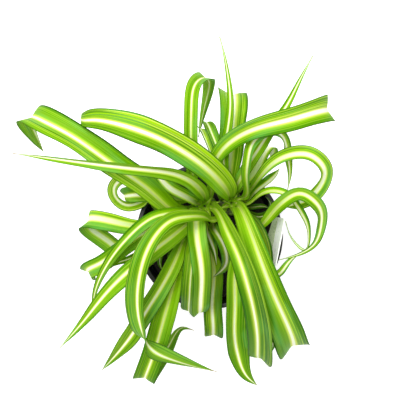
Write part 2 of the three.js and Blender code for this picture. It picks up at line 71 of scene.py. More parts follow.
# %% [markdown]
# Node trees are long to write by hand. A Wire is one socket, and sums and products of wires add the
# Math nodes for them. A Tree makes any other node from its type, its settings and its sockets. Both
# work in shader trees and in geometry trees, so the leaves' shape and colour read the same way.


# %% Wires
def operator(operation, reflected=False):
    """A method that adds one Math node to the wires it is given."""

    def method(self, *others):
        values = (*others, self) if reflected else (self, *others)
        sockets = dict(enumerate(values))
        return self.tree.make("ShaderNodeMath", {"operation": operation}, sockets)

    return method


class Wire:
    """An output socket that can be added, multiplied and compared as a number."""

    __add__ = operator("ADD")
    __radd__ = operator("ADD", reflected=True)
    __sub__ = operator("SUBTRACT")
    __rsub__ = operator("SUBTRACT", reflected=True)
    __mul__ = operator("MULTIPLY")
    __rmul__ = operator("MULTIPLY", reflected=True)
    __pow__ = operator("POWER")
    __gt__ = operator("GREATER_THAN")
    __lt__ = operator("LESS_THAN")
    __abs__ = operator("ABSOLUTE")
    sine = operator("SINE")
    cosine = operator("COSINE")
    rounded = operator("ROUND")
    at_least = operator("MAXIMUM")

    def __init__(self, tree, socket):
        self.tree = tree
        self.socket = socket

    def between(self, low, high):
        """0 at low and 1 at high, with a smooth rise between them."""
        settings = {"interpolation_type": "SMOOTHSTEP"}
        return self.tree.make("ShaderNodeMapRange", settings, {0: self, 1: low, 2: high})


# %% Trees and finishes
DISPLAY_GAMMA = 2.2


class Tree:
    """A node tree that is being written."""

    def __init__(self, nodes):
        self.nodes = nodes

    def join(self, value, socket):
        """Links a wire to a socket, or sets the socket to a plain value."""
        if isinstance(value, Wire):
            self.nodes.links.new(value.socket, socket)
        else:
            socket.default_value = value

    def make(self, kind, settings=None, sockets=None, output=0):
        """A new node with its settings and sockets, as the wire from one of its outputs."""
        node = self.nodes.nodes.new(kind)
        for name, value in (settings or {}).items():
            setattr(node, name, value)
        for name, value in (sockets or {}).items():
            self.join(value, node.inputs[name])
        return Wire(self, node.outputs[output])

    def vector(self, operation, *values, output=0):
        settings = {"operation": operation}
        return self.make("ShaderNodeVectorMath", settings, dict(enumerate(values)), output)

    def scaled(self, vector, factor):
        settings = {"operation": "SCALE"}
        return self.make("ShaderNodeVectorMath", settings, {"Vector": vector, "Scale": factor})

    def xyz(self, x, y, z):
        return self.make("ShaderNodeCombineXYZ", None, {0: x, 1: y, 2: z})

    def part(self, vector, axis):
        """One of the three numbers of a vector, by its letter."""
        return self.make("ShaderNodeSeparateXYZ", None, {0: vector}, axis)


class Finish(Tree):
    """A material, with the wires that its patterns need."""

    def __init__(self, name):
        self.material = bpy.data.materials.new(name)
        self.material.use_nodes = True
        super().__init__(self.material.node_tree)
        self.shader = self.nodes.nodes["Principled BSDF"]

    def set(self, **values):
        """Values or wires for the shader's sockets, with _ for each space of a name."""
        for name, value in values.items():
            self.join(value, self.shader.inputs[name.replace("_", " ")])

    def attribute(self, name):
        return self.make("ShaderNodeAttribute", {"attribute_name": name}, None, "Fac")

    def places(self):
        return self.make("ShaderNodeTexCoord", None, None, "Object")

    def noise(self, vector, scale, detail=2.0, roughness=0.5):
        sockets = {"Vector": vector, "Scale": scale, "Detail": detail, "Roughness": roughness}
        return self.make("ShaderNodeTexNoise", None, sockets)

    def mix(self, amount, first, second):
        settings = {"data_type": "RGBA"}
        return self.make("ShaderNodeMix", settings, {0: amount, 6: first, 7: second}, 2)

    def bump(self, height, distance, strength=1.0):
        sockets = {"Height": height, "Distance": distance, "Strength": strength}
        self.set(Normal=self.make("ShaderNodeBump", None, sockets))


def colour(red, green, blue):
    """A colour from the 0 to 255 numbers of a picture, as the shader's linear light."""
    return (*[(part / 255) ** DISPLAY_GAMMA for part in (red, green, blue)], 1.0)


# %% [markdown]
# A spider plant's leaf is a long strap folded along its middle like a gutter. It rises from the
# crown, arches and hangs, so its midrib is a smooth curve through a few places. Each row gives the
# leaf's place on its crown, its width and those places in millimetres, as the CAD model has them,
# with the turn of the blade about its own length where it twists. Some rows say where the blade is
# widest, where its taper starts, and how far its tip is folded.

# %% Places of the crowns and leaves
CROWNS = {
    "main": (19, 29),
    "left": (-4, 26),
    "front": (-16, 6),
    "right": (34, 2),
}

LEAVES = {
    # long arch to the back left, over everything
    "main_leaf_01": dict(seat=(4.5, 130), width=21, taper=0.67, tip=-12, via=[
        (14, 40, 164), (-5, 58, 205), (-22, 68.5, 222), (-42, 77.5, 235), (-62, 83.6, 240),
        (-80, 87, 237), (-91, 88, 226, 6), (-95, 90.2, 214, 12), (-93, 91.2, 198, 12)]),
    # front right, the widest
    "main_leaf_02": dict(seat=(6, -50), width=30, widest=0.74, taper=0.84, via=[
        (27, 18, 168), (31, 6, 182), (38.5, -17, 195), (46.5, -38, 194), (57.3, -62, 181),
        (65, -79, 163), (69, -90, 144, -15), (71, -95.5, 120, -35), (70, -95.5, 95, -35)]),
    # arch over the left crown, round the left side and back to the front with a turned tip
    "main_leaf_03": dict(seat=(5, -150), width=16, widest=0.62, taper=0.78, via=[
        (8, 17, 124), (1, 14.3, 142, -10), (-2, 16.8, 160, -25), (-8, 19, 180, -45), (-18, 19, 196, -45),
        (-30, 16, 207, -35), (-44, 1, 212, -15), (-53, -22, 207), (-57, -46, 192), (-55, -72, 174, 20),
        (-48, -87, 164, 80), (-31, -99, 154, 140), (6, -114, 138, 160)]),
    # upper loop on the right
    "main_leaf_04": dict(seat=(10.6, 22), width=11.5, widest=0.6, taper=0.93, via=[
        (35, 41, 148), (44, 55, 178), (59, 65.2, 196), (75, 65.8, 199), (86.2, 58.5, 194, 8),
        (90.5, 50, 182, 35), (88.5, 41, 170, 62), (84, 34, 159, 80), (77, 29.5, 148, 90),
        (64, 25.5, 139, 92)]),
    # pointed, back right
    "main_leaf_05": dict(seat=(8, 70), width=10, via=[
        (24, 47.2, 164), (31, 60, 182), (40, 74, 194), (48.6, 88, 200), (57.7, 102, 206),
        (64.8, 116, 211), (76, 137, 212)]),
    # narrow arch that comes down on the right
    "main_leaf_06": dict(seat=(7.3, 36), width=11, taper=0.66, via=[
        (31.3, 38.9, 162), (29, 50, 185), (29.6, 62.6, 199), (33.6, 74.6, 206), (43.6, 81, 208),
        (54.9, 78.5, 198, 26), (59.5, 71, 184, 65), (62, 65, 173, 76), (65, 53, 160, 82),
        (65, 40, 146, 88)]),
    # broad, straight back
    "main_leaf_07": dict(seat=(10.8, 116), width=25, widest=0.6, taper=0.86, via=[
        (15, 43, 140), (15, 55, 161), (15, 70, 177), (15.5, 84, 187), (16.5, 98, 193),
        (17, 108, 187, -10), (17, 114.9, 172, -20), (17, 116.9, 149, -20)]),
    # slender and pointed, straight back
    "main_leaf_08": dict(seat=(5.5, 90), width=8, via=[
        (13.5, 45.5, 162), (11, 62, 185), (12, 75, 197), (14, 88, 207), (15, 103, 216), (13, 121, 221),
        (10, 137, 222), (7, 149, 220)]),
    # two short ones at the back
    "main_leaf_09": dict(seat=(8.5, 165), width=9, taper=0.8, via=[
        (6, 40.5, 146), (4, 60, 168), (0, 70, 177), (-4, 80, 180), (-7, 87, 172), (-8, 89, 150)]),
    "main_leaf_10": dict(seat=(10.8, 136), width=11, taper=0.8, via=[
        (9, 46, 128), (9, 56, 142), (8, 68, 154), (3, 82, 160), (-1, 92, 156), (-3, 97, 140)]),
    "main_leaf_11": dict(seat=(10.8, 84), width=8, taper=0.7, via=[
        (22, 47, 136), (28, 57, 153), (33, 68, 163), (37.5, 79, 167), (40, 86, 158), (41, 88, 140)]),
    # short, low ones on the right
    "main_leaf_12": dict(seat=(10.5, 50), width=12, taper=0.8, via=[
        (31, 49, 136), (40, 60, 150), (44, 70, 156), (48, 75, 151), (52, 74, 138), (53, 70, 118)]),
    "main_leaf_13": dict(seat=(11, 4), width=9, taper=0.8, via=[
        (35, 33, 122), (39, 39, 136), (46, 45, 145), (53, 51, 149), (58, 57, 147)]),
    "main_leaf_14": dict(seat=(7.5, -5), width=6.5, via=[
        (36, 30, 138), (44, 37, 151), (52, 39, 158), (61, 37, 160), (70, 29, 156), (78, 18, 148),
        (85, 2, 129.5), (83, -12, 112), (78, -8, 106), (72, 0, 108), (67, 13, 114)]),
    "main_leaf_15": dict(seat=(11, -15), width=7, via=[
        (37, 25, 115), (45, 26, 117), (52, 25, 113)]),
    "main_leaf_16": dict(seat=(10.8, -32), width=7, via=[
        (34, 20, 122), (43, 17, 128), (50, 20, 127), (53, 28, 121), (49, 35, 112)]),
    # dark one under the front right leaf
    "main_leaf_17": dict(seat=(10.8, -58), width=16, via=[
        (29, 16, 134), (37, 8, 148), (43, -6, 152), (46.4, -25, 146), (49.4, -45, 134), (51, -62, 122)]),
    # leftmost broad arch
    "left_leaf_01": dict(seat=(11, 175), width=23.5, taper=0.78, via=[
        (-31, 23, 152), (-47, 38, 182), (-77, 60, 210), (-102, 77.5, 218), (-123, 88.5, 214),
        (-134, 93, 202), (-138, 88, 184, -20), (-137.5, 71, 150, -42)]),
    # long pointed, straight to the left
    "left_leaf_02": dict(seat=(5.5, 116), width=13.5, via=[
        (-7.2, 38.7, 168), (-15.5, 46, 188), (-25, 50, 200), (-44, 52.5, 216), (-78, 55.5, 229),
        (-106, 59, 231), (-142, 64, 224)]),
    "left_leaf_03": dict(seat=(8.2, 154), width=10.5, taper=0.7, via=[
        (-15.3, 32.7, 152), (-26, 38.3, 173), (-33.5, 43.5, 183.5), (-38, 48.8, 186), (-40, 53.6, 180),
        (-40.6, 56.6, 164)]),
    # short broad one under the leftmost arch
    "left_leaf_04": dict(seat=(12.2, 148), width=15, taper=0.75, via=[
        (-22, 33, 120), (-40, 36, 144), (-54, 37, 153), (-65.5, 36.5, 152), (-71.5, 35.5, 143),
        (-73, 35.5, 130)]),
    # curling ring
    "left_leaf_05": dict(seat=(11, 128), width=9.5, taper=0.93, via=[
        (-25, 40, 143), (-48, 51, 163), (-66, 51, 162), (-79.5, 42.5, 150), (-79.2, 32, 137, -34),
        (-72, 26.5, 129, -66), (-60, 29, 122, -88), (-52, 35, 117, -95)]),
    # long thin hook
    "left_leaf_06": dict(seat=(8.8, 206), width=10.8, via=[
        (-18, 20.5, 150), (-28, 20, 174), (-43, 17, 184), (-60.5, 4, 182), (-77.5, -15, 172.5),
        (-91.5, -38, 158), (-97, -53, 145), (-100, -71, 127)]),
    # front left, straight and pointed
    "left_leaf_07": dict(seat=(10.8, 230), width=15.5, via=[
        (-19, 10, 150), (-32, -1, 170), (-55, -19, 183), (-79, -41, 176), (-100, -65, 159),
        (-127, -94, 136)]),
    # back, up and folded down again
    "left_leaf_08": dict(seat=(9, 106), width=11.5, taper=0.68, via=[
        (-13.8, 47, 157), (-14.5, 60, 176), (-15, 77, 192), (-14.5, 98, 204), (-13.2, 113.5, 202),
        (-8.8, 123, 192), (-3, 127, 178, -10), (-0.8, 125.5, 164, -30), (-2.6, 117, 146, -20),
        (-6.8, 102, 124, -20), (-10, 88, 106, -20)]),
    # from under the long arch to the back right
    "left_leaf_09": dict(seat=(6.6, 59), width=21.5, widest=0.9, taper=0.84, via=[
        (1.9, 46.8, 160), (2.7, 58, 179), (8.5, 68.5, 195), (20, 77.5, 210), (37, 83.8, 224),
        (57, 88.5, 230), (73, 93.5, 227, -6), (85, 97.5, 215, -16), (87.5, 98.5, 192, -25),
        (86, 98.5, 165, -25)]),
    # front, over the middle
    "left_leaf_10": dict(seat=(5.3, -23), width=24, widest=0.6, taper=0.84, via=[
        (9.5, 19.6, 170, 10), (15, 8, 190), (23.8, -11, 204.5), (31.8, -34, 203), (37.4, -55, 190),
        (41.7, -78, 168), (43.8, -97, 143), (45, -107, 120), (44.5, -108, 94)]),
    # front centre
    "left_leaf_11": dict(seat=(5.5, 250), width=18, taper=0.84, via=[
        (-11.5, 13.2, 162), (-10.5, -1, 174), (-8, -17, 175), (-7, -34, 165), (-8, -50, 151),
        (-8.5, -61.5, 138), (-9, -65.5, 127), (-9, -62.5, 117)]),
    # in the shade inside the pot
    "left_leaf_12": dict(seat=(10.5, -52), width=10, taper=0.8, via=[
        (3.5, 8, 129), (6, 3.5, 147), (11, -5, 151), (14, -16, 146), (12.5, -25, 137), (3, -35, 128)]),
    "left_leaf_13": dict(seat=(11, -102), width=10, via=[
        (-5, 11, 118), (-1, 0, 122), (4, -13, 122), (6, -25, 118)]),
    # low, front left, wide, with its tip curled back under
    "front_leaf_01": dict(seat=(10, 250), width=21, taper=0.66, via=[
        (-21, -9, 120), (-27, -27, 130), (-33.5, -49, 130.7), (-41, -75, 131.5), (-50, -105, 122),
        (-58.5, -128, 103), (-55, -126, 83), (-38, -105, 70), (-26, -90, 64), (-15, -93, 60)]),
    "front_leaf_02": dict(seat=(4.5, 225), width=17, taper=0.68, via=[
        (-23.5, -4, 136), (-30, -20, 149), (-38, -36, 153), (-52, -59, 150), (-65, -80, 140),
        (-78, -98, 126), (-96, -120, 107)]),
    "front_leaf_03": dict(seat=(4.5, -60), width=15, taper=0.82, via=[
        (-12.7, -4, 140), (-13.8, -14, 149), (-16, -32, 149), (-17.4, -50, 138.2), (-18.5, -61, 121),
        (-19, -68, 104), (-19, -68, 90)]),
    # broad, low, front
    "front_leaf_04": dict(seat=(10, -50), width=18, taper=0.8, via=[
        (-3, -8, 108), (4, -25, 110), (4, -45, 113.5), (3, -62, 114.5), (4, -80, 109), (4, -90, 97),
        (4, -91.5, 78)]),
    # left, with the end bent down
    "front_leaf_05": dict(seat=(4.5, 150), width=15.5, taper=0.92, via=[
        (-29, 12, 140), (-49, 6, 158, 15), (-73, -9, 160, 30), (-89, -21, 154, 42),
        (-100, -26.5, 145, 45), (-104, -31, 128, 32), (-104, -32, 100, 32)]),
    # left, folded back on itself
    "front_leaf_06": dict(seat=(9, 172), width=17, widest=0.5, taper=0.95, via=[
        (-38, 10, 130), (-65, 9, 142), (-83, 12.5, 146, 6), (-96, 14.5, 143, 10), (-105, 12.5, 131, 36),
        (-104, 4.5, 117, 62), (-95, -3.5, 108, 57), (-87, -11, 101, 60), (-79, -19, 96, 60)]),
    "front_leaf_07": dict(seat=(9.5, 198), width=7.5, via=[
        (-32, 2, 118), (-50, -8, 129), (-67, -18, 132), (-81, -23, 129), (-93, -31, 118)]),
    "front_leaf_08": dict(seat=(10, 146), width=8, via=[
        (-28, 15, 112), (-36, 17, 116), (-44, 15, 114)]),
    "front_leaf_09": dict(seat=(10.5, 215), width=7, via=[
        (-32, -4, 112), (-42, -14, 116), (-44, -24, 114), (-41, -32, 110)]),
    "front_leaf_10": dict(seat=(10.5, 232), width=7, via=[
        (-26, -5, 114), (-33, -14, 118), (-34, -24, 116), (-31, -32, 110)]),
    "front_leaf_11": dict(seat=(10.5, 120), width=8, via=[
        (-26, 22, 112), (-40, 23, 117), (-49, 26, 117), (-53, 31, 114)]),
    # lower loop on the right
    "right_leaf_01": dict(seat=(5, 40), width=11.5, taper=0.5, via=[
        (44, 10, 138), (51, 20, 156), (60, 31, 176), (70.5, 36, 183), (82, 30, 180), (89.5, 20, 168),
        (91, 9.5, 156, 14), (88, -6, 140, 34), (75, -16, 126, 50), (60, -21, 118, 55)]),
    # long, front, pointed
    "right_leaf_02": dict(seat=(4.5, -125), width=21, taper=0.72, via=[
        (27, -8, 138), (22, -31, 150), (22, -52, 146), (22, -79, 134), (25.5, -103, 114.8),
        (33, -125, 103), (43.5, -137, 94)]),
    "right_leaf_03": dict(seat=(6, -45), width=12, via=[
        (42, -14, 116), (50, -36, 120), (56.5, -60, 120), (57, -82, 114), (57, -98, 103), (57, -108, 88)]),
    "right_leaf_04": dict(seat=(10.5, -62), width=8, via=[
        (41, -19, 111), (49, -30, 115), (59, -34, 119), (67, -26, 117), (75, -19, 110), (82, -15, 103)]),
}
print("leaves:", len(LEAVES))

# %% [markdown]
# The midrib is a cubic spline through those places, walked in even steps. At every step the blade
# needs to know which way is along, sideways and up. The sideways direction is carried down the curve
# without twisting, so that the gutter never flips over. The blade is narrow and folded nearly shut
# where it leaves the crown, opens within a few centimetres, and tapers to its tip.

# %% Midribs
CROWN_TOP = 107.8
CROWN_GAP = 0.3
BLADE = 0.75
FOLD_AT_BASE = 62
FOLD_OPENS_IN = 26
FOLD_OPEN = 19
BASE_WIDTH = 0.34
WIDEST_FROM = 0.34
TAPER_FROM = 0.5
TAPER_POWER = 1.5
TIP_WIDTH = 0.9
STEP = 2.0
FEWEST_STEPS = 24
SAMPLES_PER_SPAN = 24


def spline(points, per_span):
    """Close samples of a natural cubic spline, with knots at the distances between the points."""
    points = np.array(points, float)
    gaps = np.linalg.norm(np.diff(points[:, :3], axis=0), axis=1)
    slopes = np.diff(points, axis=0) / gaps[:, None]
    system = np.eye(len(points))
    turns = np.zeros_like(points)
    for i in range(1, len(points) - 1):
        system[i, i - 1 : i + 2] = gaps[i - 1], 2 * (gaps[i - 1] + gaps[i]), gaps[i]
        turns[i] = 6 * (slopes[i] - slopes[i - 1])
    bend = np.linalg.solve(system, turns)
    rows = [points[0]]
    for i, gap in enumerate(gaps):
        for b in np.arange(1, per_span + 1) / per_span:
            a = 1 - b
            curve = (a**3 - a) * bend[i] + (b**3 - b) * bend[i + 1]
            rows.append(a * points[i] + b * points[i + 1] + gap**2 / 6 * curve)
    return np.array(rows)


def even_steps(rows, count):
    """The same curve at even steps, and its length."""
    lengths = np.linalg.norm(np.diff(rows[:, :3], axis=0), axis=1)
    along = np.concatenate([[0], np.cumsum(lengths)])
    wanted = np.linspace(0, along[-1], count + 1)
    return np.array([np.interp(wanted, along, column) for column in rows.T]).T, along[-1]


def blade_width(along, widest, taper):
    """Width as a part of the full width, at a part of the leaf's length."""
    start = np.minimum(1, along / widest)
    rise = BASE_WIDTH + (1 - BASE_WIDTH) * start**2 * (3 - 2 * start)
    past = np.maximum(0, (along - taper) / (1 - taper))
    return rise * (1 - past**TAPER_POWER)


def seat_of(crown, seat, first):
    """The place where a midrib leaves its crown."""
    radius, angle = seat
    x = crown[0] + radius * math.cos(math.radians(angle))
    y = crown[1] + radius * math.sin(math.radians(angle))
    lean = math.atan2(math.hypot(first[0] - x, first[1] - y), first[2] - CROWN_TOP)
    below = BLADE / math.cos(math.radians(FOLD_AT_BASE)) * math.sin(lean)
    return (x, y, CROWN_TOP + CROWN_GAP + below, 0)


def midrib(crown, seat, width, via, widest=WIDEST_FROM, taper=TAPER_FROM, tip=FOLD_OPEN):
    """The rows of a leaf: place, side, up, half width, fold and part of the length."""
    start = seat_of(crown, seat, via[0])
    points = [start] + [(*place, 0)[:4] for place in via]
    samples = spline(points, SAMPLES_PER_SPAN)
    length = even_steps(samples, 1)[1]
    rows, length = even_steps(samples, max(FEWEST_STEPS, round(length / STEP)))
    places = rows[:, :3]
    along = np.linspace(0, 1, len(rows))
    tangents = np.gradient(places, axis=0)
    tangents /= np.linalg.norm(tangents, axis=1)[:, None]
    level = np.array([start[1] - crown[1], crown[0] - start[0], 0.0])
    side, up = [], []
    for tangent, turn in zip(tangents, np.radians(rows[:, 3])):
        level = level - tangent * level.dot(tangent)
        level /= np.linalg.norm(level)
        turned = level * math.cos(turn) + np.cross(tangent, level) * math.sin(turn)
        side.append(turned)
        up.append(np.cross(turned, tangent))
    opened = FOLD_OPEN + (tip - FOLD_OPEN) * along**2
    fold = opened + (FOLD_AT_BASE - opened) * np.exp(-length * along / FOLD_OPENS_IN)
    half = np.maximum(TIP_WIDTH, width * blade_width(along, widest, taper)) / 2
    return {
        "place": places * MM,
        "side": np.array(side),
        "up": np.array(up),
        "half": half * MM,
        "fold": np.radians(fold),
        "along": along,
        "length": length * MM,
    }


ribs = {name: midrib(CROWNS[name.split("_")[0]], **leaf) for name, leaf in LEAVES.items()}
print("longest leaf in mm:", round(max(rib["length"] for rib in ribs.values()) / MM))

# %% [markdown]
# Below the frame's leaf ends the real leaves go on as pale sheaths, which clasp each other down to
# the root stock. Each midrib is carried on down into its crown, inward, so that one blade makes the
# sheath and the leaf in one piece. The row at each end is gathered to a point, which closes the blade.

# %% Sheaths and closed ends
SHEATH_STEPS = 9
SHEATH_DOWN = 11 * MM
SHEATH_IN = 0.42
SHEATH_CURVE = 1.4


def with_sheath(rib, crown):
    """The rows with a sheath put in front of them, and the two closing rows."""
    drop = np.linspace(1, 0, SHEATH_STEPS, endpoint=False)
    first = rib["place"][0]
    axis = np.array([crown[0] * MM, crown[1] * MM, first[2]])
    inward = (axis - first) * SHEATH_IN
    sheath = first + np.outer(drop**SHEATH_CURVE, inward) - np.outer(drop, [0, 0, SHEATH_DOWN])
    rows = {"place": np.vstack([sheath, rib["place"]])}
    for name in ("side", "up", "half", "fold"):
        before = np.repeat(rib[name][:1], SHEATH_STEPS, axis=0)
        rows[name] = np.concatenate([before, rib[name]])
    rows["along"] = np.concatenate([-drop * SHEATH_DOWN / rib["length"], rib["along"]])
    rows["thick"] = np.ones(len(rows["along"]))
    closed = {name: np.concatenate([row[:1], row, row[-1:]]) for name, row in rows.items()}
    closed["half"][[0, -1]] = 0
    closed["thick"][[0, -1]] = 0
    return closed


def rib_mesh(name, rows):
    """Loose points that carry a leaf's rows as attributes."""
    mesh = bpy.data.meshes.new(name)
    mesh.vertices.add(len(rows["along"]))
    mesh.vertices.foreach_set("co", rows["place"].ravel())
    for key in ("side", "up"):
        column = mesh.attributes.new(key, "FLOAT_VECTOR", "POINT")
        column.data.foreach_set("vector", rows[key].ravel())
    for key in ("half", "fold", "along", "thick"):
        mesh.attributes.new(key, "FLOAT", "POINT").data.foreach_set("value", rows[key])
    return mesh


# %% [markdown]
# The blade is made by Geometry Nodes, because it follows a path. A flat grid has one row of points
# for each row of the midrib. Its columns go over the top of the leaf from left to right, and back
# underneath. Each point asks the midrib for its row and moves to its place on the folded
# cross-section, which is thickest at the rib and thins to the margins. The margins ripple a little,
# as real ones do. Merging the points that meet closes the seam and both ends.

# %% Tree helpers


def new_group(name, inputs):
    """A geometry node group with named inputs, ready to be written."""
    group = bpy.data.node_groups.new(name, "GeometryNodeTree")
    for label, (kind, default) in inputs.items():
        socket = group.interface.new_socket(label, in_out="INPUT", socket_type="NodeSocket" + kind)
        if default is not None:
            socket.default_value = default
    group.interface.new_socket("Result", in_out="OUTPUT", socket_type="NodeSocketGeometry")
    tree = Tree(group)
    entry = group.nodes.new("NodeGroupInput")
    return tree, {label: Wire(tree, entry.outputs[label]) for label in inputs}


def end_group(tree, shape, finish):
    """Instances become real, the finish goes on, and the group gives the shape out."""
    shape = tree.make("GeometryNodeRealizeInstances", None, {"Geometry": shape})
    shape = tree.make("GeometryNodeSetMaterial", None, {"Geometry": shape, "Material": finish})
    exit_node = tree.nodes.nodes.new("NodeGroupOutput")
    tree.join(shape, exit_node.inputs["Result"])
    return tree.nodes


def stored(tree, shape, name, value, kind="FLOAT", domain="POINT"):
    """The shape with one more attribute."""
    settings = {"data_type": kind, "domain": domain}
    sockets = {"Geometry": shape, "Name": name, "Value": value}
    return tree.make("GeometryNodeStoreNamedAttribute", settings, sockets)


# %% The blade tree
COLUMNS = 33
THICK = 0.5 * MM
ROUNDED_KEEL = 0.05
WING_BEND = 0.24
WAVE_SKEW = 1.3
RIPPLE_FROM = 0.08
RIPPLE_FULL = 0.3
FULL_THICK_FROM = 3 * MM
THIN_PART = 0.3
MERGE_GAP = 0.004 * MM
LOOKS = ("tone", "stripe", "aim", "lines", "deep", "shade", "dry", "broad")


def blade_tree():
    """A geometry tree that turns a midrib into a closed blade."""
    inputs = {
        "Midrib": ("Geometry", None),
        "Rows": ("Int", 100),
        "Columns": ("Int", COLUMNS),
        "Thickness": ("Float", THICK),
        "Ripple": ("Float", 0.05),
        "Waves": ("Float", 5.0),
        "Phase": ("Float", 0.0),
    }
    inputs.update({look: ("Float", 0.0) for look in LOOKS})
    inputs["Finish"] = ("Material", None)
    tree, given = new_group("blade", inputs)

    sockets = {"Vertices X": given["Columns"], "Vertices Y": given["Rows"]}
    grid = tree.make("GeometryNodeMeshGrid", None, sockets)
    spot = tree.make("GeometryNodeInputPosition")
    round_trip = tree.part(spot, "X") + 0.5
    row = ((tree.part(spot, "Y") + 0.5) * (given["Rows"] - 1)).rounded()
    across = 1 - abs(round_trip - 0.5) * 4
    beneath = round_trip > 0.5

    def from_rib(kind, name):
        field = tree.make("GeometryNodeInputNamedAttribute", {"data_type": kind}, {"Name": name})
        sockets = {"Geometry": given["Midrib"], "Value": field, "Index": row}
        return tree.make("GeometryNodeSampleIndex", {"data_type": kind}, sockets)

    place = from_rib("FLOAT_VECTOR", "position")
    side = from_rib("FLOAT_VECTOR", "side")
    up = from_rib("FLOAT_VECTOR", "up")
    half = from_rib("FLOAT", "half")
    fold = from_rib("FLOAT", "fold")
    along = from_rib("FLOAT", "along")
    thick = from_rib("FLOAT", "thick")

    wing = (across**2 + ROUNDED_KEEL**2) ** 0.5 - ROUNDED_KEEL
    raised = wing * (1 + WING_BEND) - across**2 * WING_BEND
    wave = (along * given["Waves"] * math.tau + given["Phase"] + across * WAVE_SKEW).sine()
    ripple = half * given["Ripple"] * wave * across**2 * along.between(RIPPLE_FROM, RIPPLE_FULL)
    section = (1 - across**4).at_least(0) ** 0.5
    narrow = half.between(0, FULL_THICK_FROM) * (1 - THIN_PART) + THIN_PART
    depth = given["Thickness"] * thick * narrow * section * beneath
    sideways = tree.scaled(side, half * fold.cosine() * across)
    upwards = tree.scaled(up, half * fold.sine() * raised + ripple - depth)
    moved = tree.vector("ADD", tree.vector("ADD", place, sideways), upwards)

    flat_places = Wire(tree, grid.socket.node.outputs["UV Map"])
    shape = stored(tree, grid, "UVMap", flat_places, "FLOAT2", "CORNER")
    for name, value in {"across": across, "along": along, "beneath": beneath}.items():
        shape = stored(tree, shape, name, value)
    for look in LOOKS:
        shape = stored(tree, shape, look, given[look])
    shape = tree.make("GeometryNodeSetPosition", None, {"Geometry": shape, "Position": moved})
    sockets = {"Geometry": shape, "Distance": MERGE_GAP}
    shape = tree.make("GeometryNodeMergeByDistance", None, sockets)
    shape = tree.make("GeometryNodeSetShadeSmooth", None, {"Geometry": shape})
    return end_group(tree, shape, given["Finish"])


blade = blade_tree()
print("blade tree nodes:", len(blade.nodes))

# %% [markdown]
# A tree is put on an object as a modifier, and its inputs are found by their sockets' identifiers.
# The result is then turned into a plain mesh and the source object goes. Each piece rides on the
# plant's one body and stands for the simple CAD pieces.

# %% From tree to piece


def plain_piece(name, source):
    """A new object with the source's evaluated mesh, in the source's stead."""
    bpy.context.view_layer.update()
    evaluated = source.evaluated_get(bpy.context.evaluated_depsgraph_get())
    piece = bpy.data.objects.new(name, bpy.data.meshes.new_from_object(evaluated))
    scene.collection.objects.link(piece)
    bpy.data.objects.remove(source)
    return piece


def linked(name, mesh):
    """A new object in the scene."""
    made = bpy.data.objects.new(name, mesh)
    scene.collection.objects.link(made)
    return made


def grown(name, mesh, group, values):
    """A new piece: the mesh that a tree grows from another mesh."""
    source = linked(name + "_source", mesh)
    modifier = source.modifiers.new("grow", "NODES")
    modifier.node_group = group
    for item in group.interface.items_tree:
        if item.in_out == "INPUT" and item.name in values:
            modifier[item.identifier] = values[item.name]
    return plain_piece(name, source)


def seated(piece, slot, *nodes):
    """The piece rides on the plant and stands for its CAD nodes; its slot is not used."""
    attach(piece, "root")
    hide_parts(*nodes)


# %% [markdown]
# A variegated leaf has a cream stripe down the middle with a soft butter-yellow border. Beside it the
# green is fresh and yellowish, and it deepens towards the margins, which end in a thin dark line. Near
# the crown all of it is young: the green is lime and the cream is dull. Further out some leaves turn
# deep green, and cool patches are a painted sheen, where a glossy blade would reflect the sky. Leaves
# deep in the plant get painted shade. One wing often has thin pale lines of its own. The underside is
# duller, and an old tip dries to brown.
#
# A picture could hold all that, but it would have to be bent round every leaf. Here it is read from
# the blade's own across and along, so it follows each bend by itself. Noise that is drawn out along
# the leaf gives the streaks, and the colours are laid over each other as glazes are, each with a mask.

# %% Leaf colours
CREAM = colour(243, 247, 216)
BUTTER = colour(222, 232, 104)
LIME = colour(152, 200, 14)
GREEN = colour(104, 162, 2)
DEEP = colour(46, 104, 0)
COOL_SHEEN = colour(90, 163, 70)
PALE_BASE = colour(188, 228, 72)
YOUNG_CREAM = colour(176, 198, 98)
DRY = colour(150, 128, 92)
UNDERSIDE = colour(112, 160, 56)
SHADE = colour(8, 36, 2)

# %% Leaf patterns
PALE_SHEATH = (-0.02, 0.2)
YOUNG_GREEN = (0.06, 0.5)
YOUNG_STRIPE_DULL = (0.1, 0.75)
DEEPENS = (0.1, 0.6)
DRIES = (0.965, 0.995)
MARGIN = (0.8, 1.0)
LINES_END = (0.85, 0.98)
DARK_EDGE = (0.9, 0.98)
STRIPE_WANDERS = 0.1
STRIPE_FRAYS = 0.06
BORDER_WIDTH = 0.15
GLOW_WIDTH = 0.5
FINEST_VEIN = 0.9
VEIN_DEPTH = 0.12 * MM


class LeafFinish(Finish):
    """The leaves' material, with places on the blade and streaks for its patterns."""

    def __init__(self):
        super().__init__("leaf")
        self.across = self.attribute("across")
        self.along = self.attribute("along")
        self.tone = self.attribute("tone")
        self.side_mm = self.across * self.attribute("broad") * (0.5 / MM)

    def streaks(self, across, along, apart, detail=1.0, roughness=0.5):
        """Noise as fine across and along as given, which no two leaves share."""
        place = self.xyz(self.side_mm * across, self.along * along, self.tone * apart)
        return self.noise(place, 1.0, detail, roughness)

    def stripe(self, threads):
        """Masks of the stripe's cream core, its border and the glow beside it."""
        half = self.attribute("stripe")
        bends = self.noise(self.xyz(self.along * 3, self.tone * 30, 0), 1.0, 1.0) - 0.5
        off = self.across - self.attribute("aim") + bends * STRIPE_WANDERS
        distance = abs(off) + (threads - 0.5) * STRIPE_FRAYS
        core = 1 - distance.between(half * 0.45, half)
        border = 1 - distance.between(half * 0.9, half + BORDER_WIDTH)
        glow = 1 - distance.between(half, half + GLOW_WIDTH)
        return core, border, glow


